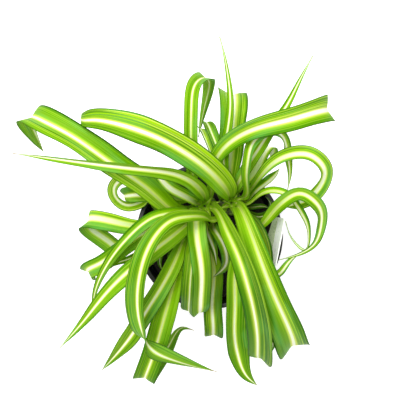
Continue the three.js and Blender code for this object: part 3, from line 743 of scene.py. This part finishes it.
# %% Leaf finish
def leaf_finish():
    """Every layer is a mask and the colour that it lets through, from the lowest up."""
    leaf = LeafFinish()
    beneath = leaf.attribute("beneath")
    off_middle = abs(leaf.across)
    bands = leaf.streaks(0.3, 0.9, 70).between(0.48, 0.72)
    streaks = leaf.streaks(0.8, 1.2, 40)
    threads = leaf.streaks(1.3, 1.4, 90, 2.0, 0.6)
    # Painted sheen: cool patches where a glossy blade would reflect the sky.
    sheen_patches = leaf.streaks(0.1, 5, 60).between(0.52, 0.66)
    core, border, glow = leaf.stripe(threads)
    young = 1 - leaf.along.between(*YOUNG_GREEN)
    cream = leaf.mix(1 - leaf.along.between(*YOUNG_STRIPE_DULL), CREAM, YOUNG_CREAM)
    deep = leaf.attribute("deep") * leaf.along.between(*DEEPENS)
    lines = leaf.attribute("lines")
    wing = (leaf.across * lines).between(0.0, 0.1) * abs(lines) * (1 - off_middle.between(*LINES_END))
    pale_lines = (wing * 0.8 + 0.2) * streaks.between(0.5, 0.6)
    fine_lines = (wing * 0.6 + 0.4) * threads.between(0.5, 0.6)
    dry = (leaf.along + (threads - 0.5) * 0.04).between(*DRIES) * leaf.attribute("dry")
    layers = [
        (off_middle.between(*MARGIN) * 0.5 + bands * 0.5, DEEP),
        (deep * 0.95, DEEP),
        ((1 - streaks.between(0.34, 0.46)) * 0.35, DEEP),
        ((1 - threads.between(0.4, 0.5)) * 0.6, DEEP),
        (sheen_patches * (1 - young) * (0.65 - deep * 0.35), COOL_SHEEN),
        (young * 0.6 + glow * 0.3, LIME),
        (pale_lines * 0.85, LIME),
        (fine_lines * (pale_lines * 0.6 + 0.2), BUTTER),
        (border * 0.7, BUTTER),
        (core * (1 - young * 0.4), cream),
        ((1 - leaf.along.between(*PALE_SHEATH)) * 0.65, PALE_BASE),
        (beneath * 0.3, UNDERSIDE),
        (off_middle.between(*DARK_EDGE) * 0.35, SHADE),
        # Painted shade: a leaf's shade look darkens leaves that lie deep in the plant.
        (leaf.attribute("shade") * (0.8 - core * 0.15), SHADE),
        (dry, DRY),
    ]
    shade = GREEN
    for mask, tint in layers:
        shade = leaf.mix(mask, shade, tint)
    leaf.set(Base_Color=shade, Roughness=0.42 + threads * 0.14 + beneath * 0.15 + dry * 0.2)
    veins = (leaf.side_mm * (math.tau / FINEST_VEIN)).sine()
    leaf.bump(veins * 0.4 + threads, VEIN_DEPTH, 0.5)
    leaf.set(Specular_IOR_Level=0.05, Subsurface_Weight=0.1)
    leaf.set(Subsurface_Radius=(0.6, 1.0, 0.2), Subsurface_Scale=1.0 * MM)
    return leaf.material


leaf_material = leaf_finish()
print("leaf finish nodes:", len(leaf_material.node_tree.nodes))

# %% [markdown]
# Each leaf has its own look, as plants do: how broad its stripe is, as a part of the blade, how far
# the stripe is off the middle, which wing has pale lines, how deep its green gets towards the end, how
# much painted shade darkens it where it lies deep in the plant, and how dry it is. What isn't given is
# drawn with a fixed seed. A positive number means the wing on the right of somebody who looks from the
# crown to the tip.

# %% Looks of single leaves
# The shade numbers below are painted shade, for leaves that lie deep in the plant.
LEAF_LOOKS = {
    "main_leaf_01": {"stripe": 0.15, "aim": -0.12, "lines": 1.0, "deep": 0.25},
    "main_leaf_02": {"stripe": 0.12, "aim": -0.1, "lines": -1.0, "deep": 0.5},
    "main_leaf_03": {"stripe": 0.14, "aim": -0.22, "lines": 0.2, "deep": 0.7, "dry": 1.0},
    "main_leaf_04": {"stripe": 0.36, "aim": 0.2},
    "main_leaf_05": {"stripe": 0.22, "dry": 0.3},
    "main_leaf_06": {"stripe": 0.22},
    "main_leaf_07": {"stripe": 0.34, "aim": 0.0, "lines": 0.5},
    "main_leaf_09": {"stripe": 0.18, "deep": 0.3},
    "main_leaf_10": {"stripe": 0.14, "deep": 0.6},
    "main_leaf_12": {"stripe": 0.5, "aim": 0.1},
    "main_leaf_13": {"stripe": 0.46, "aim": 0.3},
    "main_leaf_14": {"stripe": 0.4, "aim": 0.2},
    "main_leaf_15": {"shade": 0.85},
    "main_leaf_16": {"shade": 0.95},
    "main_leaf_17": {"shade": 0.65, "deep": 0.5},
    "left_leaf_01": {"stripe": 0.12, "aim": 0.0, "lines": -0.4, "deep": 0.15},
    "left_leaf_02": {"stripe": 0.28, "aim": 0.0, "lines": 0.1, "dry": 1.0},
    "left_leaf_03": {"stripe": 0.46, "aim": -0.25, "lines": 0.2},
    "left_leaf_04": {"stripe": 0.2, "aim": -0.2, "deep": 0.5},
    "left_leaf_05": {"stripe": 0.28, "aim": -0.2, "deep": 0.3},
    "left_leaf_06": {"stripe": 0.12, "lines": 0.2, "deep": 0.7},
    "left_leaf_07": {"stripe": 0.15, "aim": 0.15, "lines": 0.2, "deep": 0.2},
    "left_leaf_08": {"stripe": 0.1, "aim": 0.1},
    "left_leaf_09": {"stripe": 0.2, "aim": 0.1, "lines": -1.0},
    "left_leaf_10": {"stripe": 0.09, "aim": 0.3, "shade": 0.12, "lines": -0.4, "deep": 1.0},
    "left_leaf_11": {"stripe": 0.23, "aim": -0.05, "lines": 0.0, "deep": 0.7},
    "left_leaf_12": {"stripe": 0.26, "shade": 0.7},
    "left_leaf_13": {"stripe": 0.34, "shade": 0.4},
    "front_leaf_01": {"stripe": 0.09, "shade": 0.05, "lines": 0.5, "deep": 0.6, "dry": 1.0},
    "front_leaf_02": {"stripe": 0.13, "shade": 0.1, "lines": 0.3, "deep": 0.3},
    "front_leaf_03": {"stripe": 0.12, "shade": 0.36, "deep": 0.7},
    "front_leaf_04": {"shade": 0.38, "lines": 0.6, "deep": 0.8},
    "front_leaf_05": {"stripe": 0.2, "deep": 0.2},
    "front_leaf_06": {"stripe": 0.3, "aim": 0.2, "lines": 0.9},
    "front_leaf_07": {"shade": 0.2, "dry": 1.0},
    "front_leaf_08": {"shade": 0.8},
    "front_leaf_09": {"shade": 0.8},
    "front_leaf_10": {"shade": 0.8},
    "front_leaf_11": {"shade": 0.8},
    "right_leaf_01": {"stripe": 0.24, "aim": 0.0},
    "right_leaf_02": {"stripe": 0.13, "shade": 0.0, "lines": -0.3, "deep": 0.6},
    "right_leaf_03": {"shade": 0.35, "deep": 0.7},
    "right_leaf_04": {"stripe": 0.34},
}
print("leaves with a look of their own:", len(LEAF_LOOKS))

# %% [markdown]
# Now the leaves grow, each from its midrib by the same tree. One leaf could be modelled and bent into
# the others, but then all would have the same waves and streaks. All the random numbers of a leaf are
# drawn even where its row gives some of them, so that a new number in a row changes no other leaf.

# %% Grow the leaves
WAVE_LENGTH = 48 * MM
SEED = 7
DRAWN_BETWEEN = {
    "stripe": (0.12, 0.2),
    "aim": (-0.12, 0.12),
    "lines": (-0.9, 0.9),
    "dry": (0, 0.6),
    "tone": (0, 1),
    "Ripple": (0.03, 0.08),
    "Phase": (0, math.tau),
}

draw = np.random.default_rng(SEED)


def drawn_look():
    """A leaf's look where nothing is given."""
    drawn = {name: float(draw.uniform(*ends)) for name, ends in DRAWN_BETWEEN.items()}
    return {"deep": 0.0, "shade": 0.0, **drawn}


def grown_leaf(name, rib, crown, width, look):
    """The blade of one leaf, with its look."""
    rows = with_sheath(rib, crown)
    values = dict(look)
    values["broad"] = width * MM
    values["Rows"] = len(rows["along"])
    values["Columns"] = COLUMNS
    values["Thickness"] = THICK
    values["Waves"] = rib["length"] / WAVE_LENGTH
    values["Finish"] = leaf_material
    return grown(name, rib_mesh(name + "_rows", rows), blade, values)


leaf_faces = 0
for name, rib in ribs.items():
    look = {**drawn_look(), **LEAF_LOOKS.get(name, {})}
    crown = CROWNS[name.split("_")[0]]
    leaf = grown_leaf(name + "_blade", rib, crown, LEAVES[name]["width"], look)
    seated(leaf, "leaf", name)
    leaf_faces += len(leaf.data.polygons)
print("leaf faces:", leaf_faces)

# %% [markdown]
# The pot, the soil and the crowns are round, so each is a profile turned about an axis. A Screw
# modifier could turn it, but a function can also move each point, for flutes and lumps. A profile row
# is a radius, a height and how much its corner is rounded. A moulded corner is never sharp, and the
# light on a rounded rim is what makes it look like plastic.

# %% Turned shapes
ROUND_STEPS = 5


def rounded(rows):
    """The profile with each corner replaced by a short curve."""
    points = []
    for i, (radius, height, rounding) in enumerate(rows):
        here = np.array([radius, height], float)
        if not rounding:
            points.append(here)
            continue
        before = np.array(rows[i - 1][:2]) - here
        after = np.array(rows[i + 1][:2]) - here
        start = before / np.linalg.norm(before) * rounding
        end = after / np.linalg.norm(after) * rounding
        for t in np.linspace(0, 1, ROUND_STEPS):
            points.append(here + (1 - t) ** 2 * start + t**2 * end)
    return points


def turned(name, profile, sides, centre=(0, 0), shaped=None):
    """A closed mesh from a profile that starts and ends on the axis, in millimetres."""
    vertices, rings = [], []
    for radius, height in profile:
        ring = []
        for k in range(sides if radius else 1):
            angle = math.tau * k / sides
            place = np.array([radius * math.cos(angle), radius * math.sin(angle), height])
            if shaped:
                place = shaped(place, angle)
            ring.append(len(vertices))
            vertices.append((place + [*centre, 0]) * MM)
        rings.append(ring)
    faces = []
    for low, high in zip(rings, rings[1:]):
        for k in range(sides):
            after = (k + 1) % sides
            if len(low) == 1:
                faces.append((low[0], high[after], high[k]))
            elif len(high) == 1:
                faces.append((low[k], low[after], high[0]))
            else:
                faces.append((low[k], low[after], high[after], high[k]))
    mesh = bpy.data.meshes.new(name)
    mesh.from_pydata(vertices, [], faces)
    mesh.shade_smooth()
    return mesh


def dressed(name, mesh, material):
    """An object with a mesh and its one material."""
    mesh.materials.append(material)
    return linked(name, mesh)


# %% [markdown]
# The crown is the short root stock that the leaf sheaths grow from. It is a dull green and brown
# cushion just above the soil, fluted where the bases of lost leaves were. Only a little of it shows
# between the leaves, and it is dark there, which sets off the bright leaf bases. It could be one
# cylinder, but a turned profile drawn in at the flutes costs as little and catches the light better.

# %% Crowns
SOIL_TOP = 100
CROWN_PROFILE = [
    (0, 91, 0),
    (5.6, 91, 1),
    (8, 94, 1.5),
    (8, 101.4, 1),
    (11.4, 102.8, 0.8),
    (11.2, 107.2, 1.6),
    (8, 107.6, 0.5),
    (4, 107.7, 0.5),
    (0, 107.8, 0),
]
CROWN_SIDES = 96
FLUTES = 11
FLUTE_DEPTH = 0.06
FLUTE_TWIST = 0.12
FIBRE_SCALES = (900, 900, 120)
BLOTCH_SCALE = 220
FLUTE_GREEN = colour(48, 66, 16)
RIDGE_GREEN = colour(124, 152, 52)
BLOTCH_BROWN = colour(62, 46, 24)


def fluted(place, angle):
    """A place on the crown, drawn in between the leaf bases."""
    inset = FLUTE_DEPTH * (1 - abs(math.sin(FLUTES * angle / 2 + place[2] * FLUTE_TWIST)))
    place[:2] *= 1 - inset
    return place


def crown_finish():
    """Green fibres up the stock, with brown blotches."""
    crown = Finish("crown")
    places = crown.places()
    fibres = crown.noise(crown.vector("MULTIPLY", places, FIBRE_SCALES), 1.0, 3.0)
    blotches = crown.noise(places, BLOTCH_SCALE, 2.0).between(0.45, 0.65)
    shade = crown.mix(fibres.between(0.3, 0.7), FLUTE_GREEN, RIDGE_GREEN)
    shade = crown.mix(blotches * 0.7, shade, BLOTCH_BROWN)
    crown.set(Base_Color=shade, Roughness=0.55 + fibres * 0.2)
    crown.bump(fibres, 0.3 * MM, 0.6)
    return crown.material


crown_material = crown_finish()
for name, centre in CROWNS.items():
    mesh = turned("crown_" + name, rounded(CROWN_PROFILE), CROWN_SIDES, centre, fluted)
    seated(dressed(name + "_crown_stock", mesh, crown_material), "crown", "crown_" + name)
print("crowns:", len(CROWNS))

# %% [markdown]
# In the middle of each crown stand the youngest leaves, short and nearly upright, still folded one
# inside the other. Without them the crowns would look cut off. They could be copies of one leaf, but
# the blade tree can grow them as easily, along short midribs that rise first and then lean out, each
# turned by about the golden angle from the one before, as shoots are. A young leaf looks like the base
# of an old one, so it has only the first part of the pattern. A crown's young leaves are one piece.

# %% Young leaves
YOUNG_PER_CROWN = 7
GOLDEN_ANGLE = 137.5
YOUNG_TURN = (0, 30)
YOUNG_SEAT = (0.8, 3.4)
YOUNG_REACH = (6.0, 12.0)
YOUNG_RISE = (15.0, 27.0)
YOUNG_WIDTH = (7.5, 10.5)
YOUNG_BEND = (0.3, 0.75)
YOUNG_PART = 0.25
YOUNG_STRIPE = 0.25


def young_leaf(crown, k):
    """The table row of a crown's young leaf, in the way of the long leaves' rows."""
    angle = GOLDEN_ANGLE * k + float(draw.uniform(*YOUNG_TURN))
    radius = float(draw.uniform(*YOUNG_SEAT))
    reach = radius + float(draw.uniform(*YOUNG_REACH))
    rise = float(draw.uniform(*YOUNG_RISE))
    away = np.array([math.cos(math.radians(angle)), math.sin(math.radians(angle))])
    part_out, part_up = YOUNG_BEND
    bend = crown + away * (radius + (reach - radius) * part_out)
    end = crown + away * reach
    via = [(*bend, CROWN_TOP + rise * part_up), (*end, CROWN_TOP + rise)]
    return dict(seat=(radius, angle), width=float(draw.uniform(*YOUNG_WIDTH)), via=via)


def joined(name, pieces):
    """One object from several."""
    with bpy.context.temp_override(active_object=pieces[0], selected_editable_objects=pieces):
        bpy.ops.object.join()
    pieces[0].name = name
    return pieces[0]


for name, centre in CROWNS.items():
    shoots = []
    for k in range(YOUNG_PER_CROWN):
        row = young_leaf(np.array(centre, float), k)
        rib = midrib(centre, **row)
        rib["along"] *= YOUNG_PART
        look = {**drawn_look(), "stripe": YOUNG_STRIPE}
        shoots.append(grown_leaf(f"{name}_shoot_{k}", rib, centre, row["width"], look))
    shoots = joined(name + "_young_leaves", shoots)
    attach(shoots, "root")
print("young leaves:", YOUNG_PER_CROWN * len(CROWNS))

# %% [markdown]
# The pot is thin black plastic, moulded in one piece: a tapering wall, a collar that lets pots stack,
# and a rolled lip. The plastic is a blue-grey black that shines softly, with fine scuffs round the
# wall and a little dust on the collar and the lip. A picture of scuffs would have to be wrapped round
# the wall. Noise that is fine in height and coarse sideways makes them with nothing to wrap.

# %% Pot finish
DUST_FROM = 94 * MM
DUST_TO = 104 * MM
SCUFF_SCALES = (60, 60, 900)
GRAIN_SCALE = 1400
DUST_SCALE = 90
BLACK = colour(17, 21, 23)
SCUFF_GREY = colour(40, 48, 52)
DUST_BROWN = colour(92, 78, 62)
POT_SHINE = 0.35


def pot_finish():
    """Black plastic with fine scuffs, and some dust high up."""
    pot = Finish("pot")
    places = pot.places()
    grain = pot.noise(places, GRAIN_SCALE, 2.0)
    scuffs = pot.noise(pot.vector("MULTIPLY", places, SCUFF_SCALES), 1.0, 4.0, 0.7)
    high_up = pot.part(places, "Z").between(DUST_FROM, DUST_TO)
    dust = pot.noise(places, DUST_SCALE, 5.0, 0.7) * high_up
    shade = pot.mix(scuffs.between(0.5, 0.75) * 0.5, BLACK, SCUFF_GREY)
    shade = pot.mix(dust.between(0.45, 0.8) * 0.35, shade, DUST_BROWN)
    pot.set(Base_Color=shade, Roughness=0.34 + grain * 0.12 + scuffs * 0.2)
    pot.set(Specular_IOR_Level=POT_SHINE)
    pot.bump(grain + scuffs * 0.6, 0.05 * MM, 0.4)
    return pot.material


pot_material = pot_finish()
print("pot finish nodes:", len(pot_material.node_tree.nodes))

# %% [markdown]
# The pot's wall is turned as one closed profile, up the inside and down the outside, so it has its
# real thickness. Its floor has drain holes. They could be left out of the faces by hand, but a
# Boolean modifier cuts them as a drill would. Edges that turn sharply are marked, so that the shading
# stays crisp there.

# %% Pot
POT_SIDES = 192
POT_PROFILE = [
    (0, 3.9, 0),
    (45.94, 3.9, 1),
    (58.8, 96, 0.6),
    (60.4, 98.2, 0.6),
    (61, 112, 0.8),
    (65, 112, 0.9),
    (65, 109, 0.8),
    (63, 108.4, 0.4),
    (62.2, 97.6, 0.5),
    (60.4, 95.4, 0.5),
    (47, 0.6, 0.5),
    (46.2, 0, 0.4),
    (40, 0, 0.4),
    (38.5, 1.5, 0.4),
    (16.5, 1.5, 0.4),
    (15, 0, 0.4),
    (0, 0, 0),
]
DRAIN_HOLES = 8
DRAIN_RADIUS = 4
DRAIN_RING = 30
DRAIN_SIDES = 40
DRILL_LOW = -1
DRILL_HIGH = 5
DRILL = [(0, DRILL_LOW), (DRAIN_RADIUS, DRILL_LOW), (DRAIN_RADIUS, DRILL_HIGH), (0, DRILL_HIGH)]
SHARP_ANGLE = math.radians(40)

source = dressed("pot_source", turned("pot", rounded(POT_PROFILE), POT_SIDES), pot_material)
drills = []
for k in range(DRAIN_HOLES):
    angle = (k + 0.5) * math.tau / DRAIN_HOLES
    centre = (DRAIN_RING * math.cos(angle), DRAIN_RING * math.sin(angle))
    drills.append(linked("drill", turned("drill", DRILL, DRAIN_SIDES, centre)))
    cut = source.modifiers.new("cut", "BOOLEAN")
    cut.operation = "DIFFERENCE"
    cut.solver = "EXACT"
    cut.object = drills[-1]
pot = plain_piece("pot_shell", source)
for drill in drills:
    bpy.data.objects.remove(drill)
pot.data.set_sharp_from_angle(angle=SHARP_ANGLE)
seated(pot, "pot", "pot")
print("pot faces:", len(pot.data.polygons))

# %% [markdown]
# Potting mix is bark, peat and air. Its body is turned like the pot. A flat top would be simpler, but
# the frame's top has low lumps, and the same formula makes them here. Rings of points close to each
# other leave room for the finer roughness.

# %% Soil body
SOIL_PROFILE = [(0, 4.2), (45.3, 4.2), (57.7, 94), (57.6, 97), (57.2, 99.2)]
SOIL_EDGE = 56.8
SOIL_RINGS = 58
SOIL_SIDES = 240


def lumpy(place, angle):
    """The soil's low lumps, the same as the frame's."""
    x, y, z = place
    if z >= SOIL_TOP:
        z += 0.9 * math.sin(0.31 * x + 1.2) * math.cos(0.27 * y)
        z += 0.6 * math.sin(0.53 * x - 0.41 * y + 0.5) + 0.4 * math.cos(0.71 * y + 0.33 * x)
    return np.array([x, y, z])


profile = SOIL_PROFILE + [(SOIL_EDGE * k / SOIL_RINGS, SOIL_TOP) for k in range(SOIL_RINGS, -1, -1)]
soil_mesh = turned("soil", profile, SOIL_SIDES, shaped=lumpy)
print("soil body faces:", len(soil_mesh.polygons))

# %% [markdown]
# Crumbs and bark chips make the mix look loose. Chips placed by hand would take hundreds of objects,
# so Geometry Nodes lifts the top by a fine noise and spreads one angular chip over it, with a random
# turn and size for each. The chips keep away from the crowns, the label and the wall.

# %% Soil tree
CHIP_ZONE = 53 * MM
KEEP_OFF_CROWN = 12.5 * MM
KEEP_OFF_LABEL = 6 * MM
LABEL_AT = (51, -3.4)
TOP_BAND = 2.5
TOP_FROM = (SOIL_TOP - TOP_BAND) * MM
CRUMB_SCALE = 420.0
CRUMB_HEIGHT = 1.6 * MM
CHIPS_PER_SQUARE_METRE = 90000.0
CHIP_SEED = 3
CHIP_SIZE = (2.6 * MM, 1.5 * MM, 0.9 * MM)
CHIP_RAGGED_SCALE = 700.0
CHIP_RAGGED = 2.2 * MM
CHIP_SMALLEST = (0.3, 0.3, 0.3)
CHIP_LARGEST = (1.5, 1.2, 1.2)
CHIP_KINDS = (0.15, 1.0)
FULL_TURN = (math.tau, math.tau, math.tau)


def bark_chip(tree):
    """One angular chip: a small box with its corners moved by noise."""
    sockets = {"Size": CHIP_SIZE, "Vertices X": 4, "Vertices Y": 3}
    chip = tree.make("GeometryNodeMeshCube", None, sockets)
    sockets = {"Vector": tree.make("GeometryNodeInputPosition"), "Scale": CHIP_RAGGED_SCALE}
    ragged = tree.make("ShaderNodeTexNoise", None, sockets, "Color")
    bent = tree.scaled(tree.vector("SUBTRACT", ragged, (0.5, 0.5, 0.5)), CHIP_RAGGED)
    return tree.make("GeometryNodeSetPosition", None, {"Geometry": chip, "Offset": bent})


def chip_ground(tree, spot):
    """Where chips may lie: 1 on the open soil, 0 near the crowns, the label and the wall."""
    flat = tree.vector("MULTIPLY", spot, (1, 1, 0))
    ground = tree.vector("LENGTH", flat, output="Value") < CHIP_ZONE
    zones = [(place, KEEP_OFF_CROWN) for place in CROWNS.values()] + [(LABEL_AT, KEEP_OFF_LABEL)]
    for (x, y), distance in zones:
        from_zone = tree.vector("DISTANCE", flat, (x * MM, y * MM, 0), output="Value")
        ground = ground * (from_zone > distance)
    return ground


def soil_tree():
    """A geometry tree that roughens the soil and spreads bark chips on it."""
    inputs = {
        "Soil": ("Geometry", None),
        "Chips per square metre": ("Float", CHIPS_PER_SQUARE_METRE),
        "Seed": ("Int", CHIP_SEED),
        "Finish": ("Material", None),
    }
    tree, given = new_group("soil", inputs)
    spot = tree.make("GeometryNodeInputPosition")
    is_top = tree.part(spot, "Z") > TOP_FROM
    sockets = {"Vector": spot, "Scale": CRUMB_SCALE, "Detail": 3.0}
    crumbs = tree.make("ShaderNodeTexNoise", None, sockets)
    lift = tree.xyz(0, 0, (crumbs - 0.5) * CRUMB_HEIGHT * is_top)
    shape = tree.make("GeometryNodeSetPosition", None, {"Geometry": given["Soil"], "Offset": lift})

    sockets = {
        "Mesh": shape,
        "Selection": chip_ground(tree, spot) * is_top,
        "Density": given["Chips per square metre"],
        "Seed": given["Seed"],
    }
    settings = {"distribute_method": "RANDOM"}
    points = tree.make("GeometryNodeDistributePointsOnFaces", settings, sockets)

    def random_vector(low, high, seed):
        sockets = {"Min": low, "Max": high, "Seed": seed}
        return tree.make("FunctionNodeRandomValue", {"data_type": "FLOAT_VECTOR"}, sockets)

    turn = random_vector((0, 0, 0), FULL_TURN, 1)
    turn = tree.make("FunctionNodeEulerToRotation", None, {"Euler": turn})
    size = random_vector(CHIP_SMALLEST, CHIP_LARGEST, 2)
    sockets = {"Points": points, "Instance": bark_chip(tree), "Rotation": turn, "Scale": size}
    chips = tree.make("GeometryNodeInstanceOnPoints", None, sockets)
    sockets = {2: CHIP_KINDS[0], 3: CHIP_KINDS[1], "Seed": 5}
    kind = tree.make("FunctionNodeRandomValue", {"data_type": "FLOAT"}, sockets)
    chips = stored(tree, chips, "chip", kind, domain="INSTANCE")
    both = tree.nodes.nodes.new("GeometryNodeJoinGeometry")
    tree.join(chips, both.inputs[0])
    tree.join(shape, both.inputs[0])
    return end_group(tree, Wire(tree, both.outputs[0]), given["Finish"])


soil_group = soil_tree()
print("soil tree nodes:", len(soil_group.nodes))

# %% [markdown]
# Wet peat is nearly black. Bark is a warmer brown, and a few fresh chips are tan. That could be three
# materials. Here each chip carries a random number of its own, which is 0 on the peat, so one finish
# serves them all.

# %% Soil
IS_BARK = 0.1
IS_FRESH = 0.84
PEAT_SCALE = 700
BARK_SCALE = 2400
PEAT_SHADES = (colour(8, 6, 5), colour(34, 24, 17))
BARK_SHADES = (colour(20, 12, 8), colour(58, 37, 23))
FRESH_SHADES = (colour(96, 60, 32), colour(150, 106, 66))


def soil_finish():
    """Peat, and bark in two shades, told apart by the chips' numbers."""
    soil = Finish("soil")
    places = soil.places()
    chip = soil.attribute("chip")
    crumbs = soil.noise(places, PEAT_SCALE, 6.0, 0.7)
    fibres = soil.noise(places, BARK_SCALE, 4.0, 0.6)
    streaks = fibres.between(0.3, 0.7)
    peat = soil.mix(crumbs.between(0.35, 0.7), *PEAT_SHADES)
    bark = soil.mix(streaks, *BARK_SHADES)
    fresh = soil.mix(streaks, *FRESH_SHADES)
    brown = soil.mix(chip > IS_BARK, peat, bark)
    brown = soil.mix(chip > IS_FRESH, brown, fresh)
    soil.set(Base_Color=brown, Roughness=0.86 + fibres * 0.12)
    soil.bump(crumbs + fibres * 0.4, 0.5 * MM, 0.8)
    return soil.material


soil_values = {
    "Chips per square metre": CHIPS_PER_SQUARE_METRE,
    "Seed": CHIP_SEED,
    "Finish": soil_finish(),
}
soil = grown("soil_mix", soil_mesh, soil_group, soil_values)
seated(soil, "soil", "soil")
print("soil faces:", len(soil.data.polygons))

# %% [markdown]
# The care card is one sheet of thin white plastic with a stake below it. Its outline is drawn flat in
# millimetres and stood up along the card's own rise, then given its thickness by a second row of
# points. It leans out a little, as the frame's card does.

# %% Card shape
LABEL_WIDTH = 42
LABEL_THICK = 0.9
LABEL_CORNER = 3
LABEL_FOOT = (49.2, -3.1, 88)
LABEL_TOP = (58.4, -4.8, 150)
LABEL_YAW = math.radians(-100.7)
STAKE_WIDTH = 9
STAKE_TO = 112
STAKE_POINT = 8
STAKE_POINT_WIDTH = 0.3
SHOULDER_SLOPE = 6
CORNER_STEPS = 8


def corner(x, y, start):
    """A quarter circle of the card's outline, about a corner's centre."""
    angles = np.radians(np.linspace(start, start + 90, CORNER_STEPS))
    return [(x + LABEL_CORNER * math.cos(a), y + LABEL_CORNER * math.sin(a)) for a in angles]


def card_outline(length):
    """The card and its stake, flat, from the stake's point at the origin."""
    half, stake = LABEL_WIDTH / 2 - LABEL_CORNER, STAKE_WIDTH / 2
    shoulder = STAKE_TO - LABEL_FOOT[2]
    outline = [(-stake * STAKE_POINT_WIDTH, 0), (stake * STAKE_POINT_WIDTH, 0), (stake, STAKE_POINT)]
    outline.append((stake, shoulder - SHOULDER_SLOPE))
    outline += corner(half, shoulder + LABEL_CORNER, -90)
    outline += corner(half, length - LABEL_CORNER, 0)
    outline += corner(-half, length - LABEL_CORNER, 90)
    outline += corner(-half, shoulder + LABEL_CORNER, 180)
    return outline + [(-stake, shoulder - SHOULDER_SLOPE), (-stake, STAKE_POINT)]


def card_mesh():
    """The outline twice, a card's thickness apart, closed all round."""
    foot, top = np.array(LABEL_FOOT, float), np.array(LABEL_TOP, float)
    length = np.linalg.norm(top - foot)
    outline = card_outline(length)
    rise = (top - foot) / length
    level = np.array([math.cos(LABEL_YAW), math.sin(LABEL_YAW), 0])
    face = np.cross(level, rise)
    face /= np.linalg.norm(face)
    flat = np.cross(rise, face)
    vertices = []
    for depth in (-LABEL_THICK / 2, LABEL_THICK / 2):
        vertices += [(foot + flat * x + rise * y + face * depth) * MM for x, y in outline]
    count = len(outline)
    faces = [tuple(reversed(range(count))), tuple(range(count, 2 * count))]
    faces += [(k, (k + 1) % count, count + (k + 1) % count, count + k) for k in range(count)]
    mesh = bpy.data.meshes.new("card")
    mesh.from_pydata(vertices, [], faces)
    return mesh


card_source = card_mesh()
print("card outline points:", len(card_source.vertices) // 2)

# %% [markdown]
# The card is bare white plastic. Low down its face is painted grey-green and finely mottled: painted
# shade, with the green that the leaves throw on it. Above that it is paler and speckled, and plain
# white along the top. Thin plastic also lets some light through from behind, and a faint glow of its
# own colours stands for that. A Bevel modifier rounds the edge, so that it shines as a cut plastic
# edge does.

# %% Care card
PAINTED_SHADE_TO = 131 * MM
SPECKLED_TO = 143 * MM
BAND_BLUR = 2 * MM
MOTTLE_SCALE = 700
PAINTED_SHADE_GREENS = (colour(154, 180, 122), colour(222, 232, 198))
SPECKLE_SHADES = (colour(196, 204, 192), colour(253, 254, 250))
CARD_WHITE = colour(252, 253, 250)
CARD_GLOW = 0.15
CARD_BEVEL = 0.25 * MM
BEVEL_STEPS = 3
BEVEL_ANGLE = math.radians(60)


def card_finish():
    """A mottled band of painted shade, a speckled band above it, and a white top edge."""
    card = Finish("card")
    places = card.places()
    mottle = card.noise(places, MOTTLE_SCALE, 3.0, 0.7)
    height = card.part(places, "Z")
    # Painted shade: the low band is grey-green, as shade with green light from the leaves.
    tint = card.mix(mottle.between(0.3, 0.65), *PAINTED_SHADE_GREENS)
    speckled = card.mix(mottle.between(0.36, 0.5), *SPECKLE_SHADES)
    shade = card.mix(height.between(PAINTED_SHADE_TO - BAND_BLUR, PAINTED_SHADE_TO), tint, speckled)
    top = height.between(SPECKLED_TO - BAND_BLUR, SPECKLED_TO)
    shade = card.mix(top, shade, CARD_WHITE)
    card.set(Base_Color=shade, Roughness=0.4 + mottle * 0.15)
    card.set(Emission_Color=shade, Emission_Strength=CARD_GLOW)
    card.bump(mottle, 0.04 * MM, 0.3)
    return card.material


source = dressed("card_source", card_source, card_finish())
bevel = source.modifiers.new("bevel", "BEVEL")
bevel.width = CARD_BEVEL
bevel.segments = BEVEL_STEPS
bevel.angle_limit = BEVEL_ANGLE
card = plain_piece("care_card", source)
seated(card, "label", "plant_label")
print("card faces:", len(card.data.polygons))

# %% [markdown]
# The floor is a plain pale sheet. It glows a little, because a floor lit brightly enough to look
# white would need so much light that the leaves burn out. The light is an even sky with one broad
# soft lamp high above, a little behind and to the left, so the tops of the arches shine gently and
# the middle of the plant stays dark.

# %% Floor and light
FLOOR_REACH = 3
FLOOR_COLOUR = (0.94, 0.94, 0.94, 1)
FLOOR_ROUGH = 0.9
FLOOR_GLOW = 0.45
WHITE = (1, 1, 1, 1)
SKY = 0.68
LAMP_AT = (-0.2, 0.28, 1.35)
LAMP_SIZE = 0.6
LAMP_WATTS = 17.5

floor_finish = Finish("floor")
floor_finish.set(Base_Color=FLOOR_COLOUR, Roughness=FLOOR_ROUGH)
floor_finish.set(Emission_Color=WHITE, Emission_Strength=FLOOR_GLOW)
corners = [(-1, -1), (1, -1), (1, 1), (-1, 1)]
floor_mesh = bpy.data.meshes.new("floor")
floor_mesh.from_pydata([(x * FLOOR_REACH, y * FLOOR_REACH, 0) for x, y in corners], [], [(0, 1, 2, 3)])
dressed("floor", floor_mesh, floor_finish.material)

world = bpy.data.worlds.new("sky")
scene.world = world
world.use_nodes = True
sky = world.node_tree.nodes["Background"]
sky.inputs["Color"].default_value = WHITE
sky.inputs["Strength"].default_value = SKY

lamp_data = bpy.data.lights.new("lamp", "AREA")
lamp_data.shape = "DISK"
lamp_data.size = LAMP_SIZE
lamp_data.energy = LAMP_WATTS
lamp = bpy.data.objects.new("lamp", lamp_data)
lamp.location = LAMP_AT
lamp.rotation_euler = lamp.location.to_track_quat("Z", "Y").to_euler()
scene.collection.objects.link(lamp)
print("lamp height in mm:", round(lamp.location.z / MM))
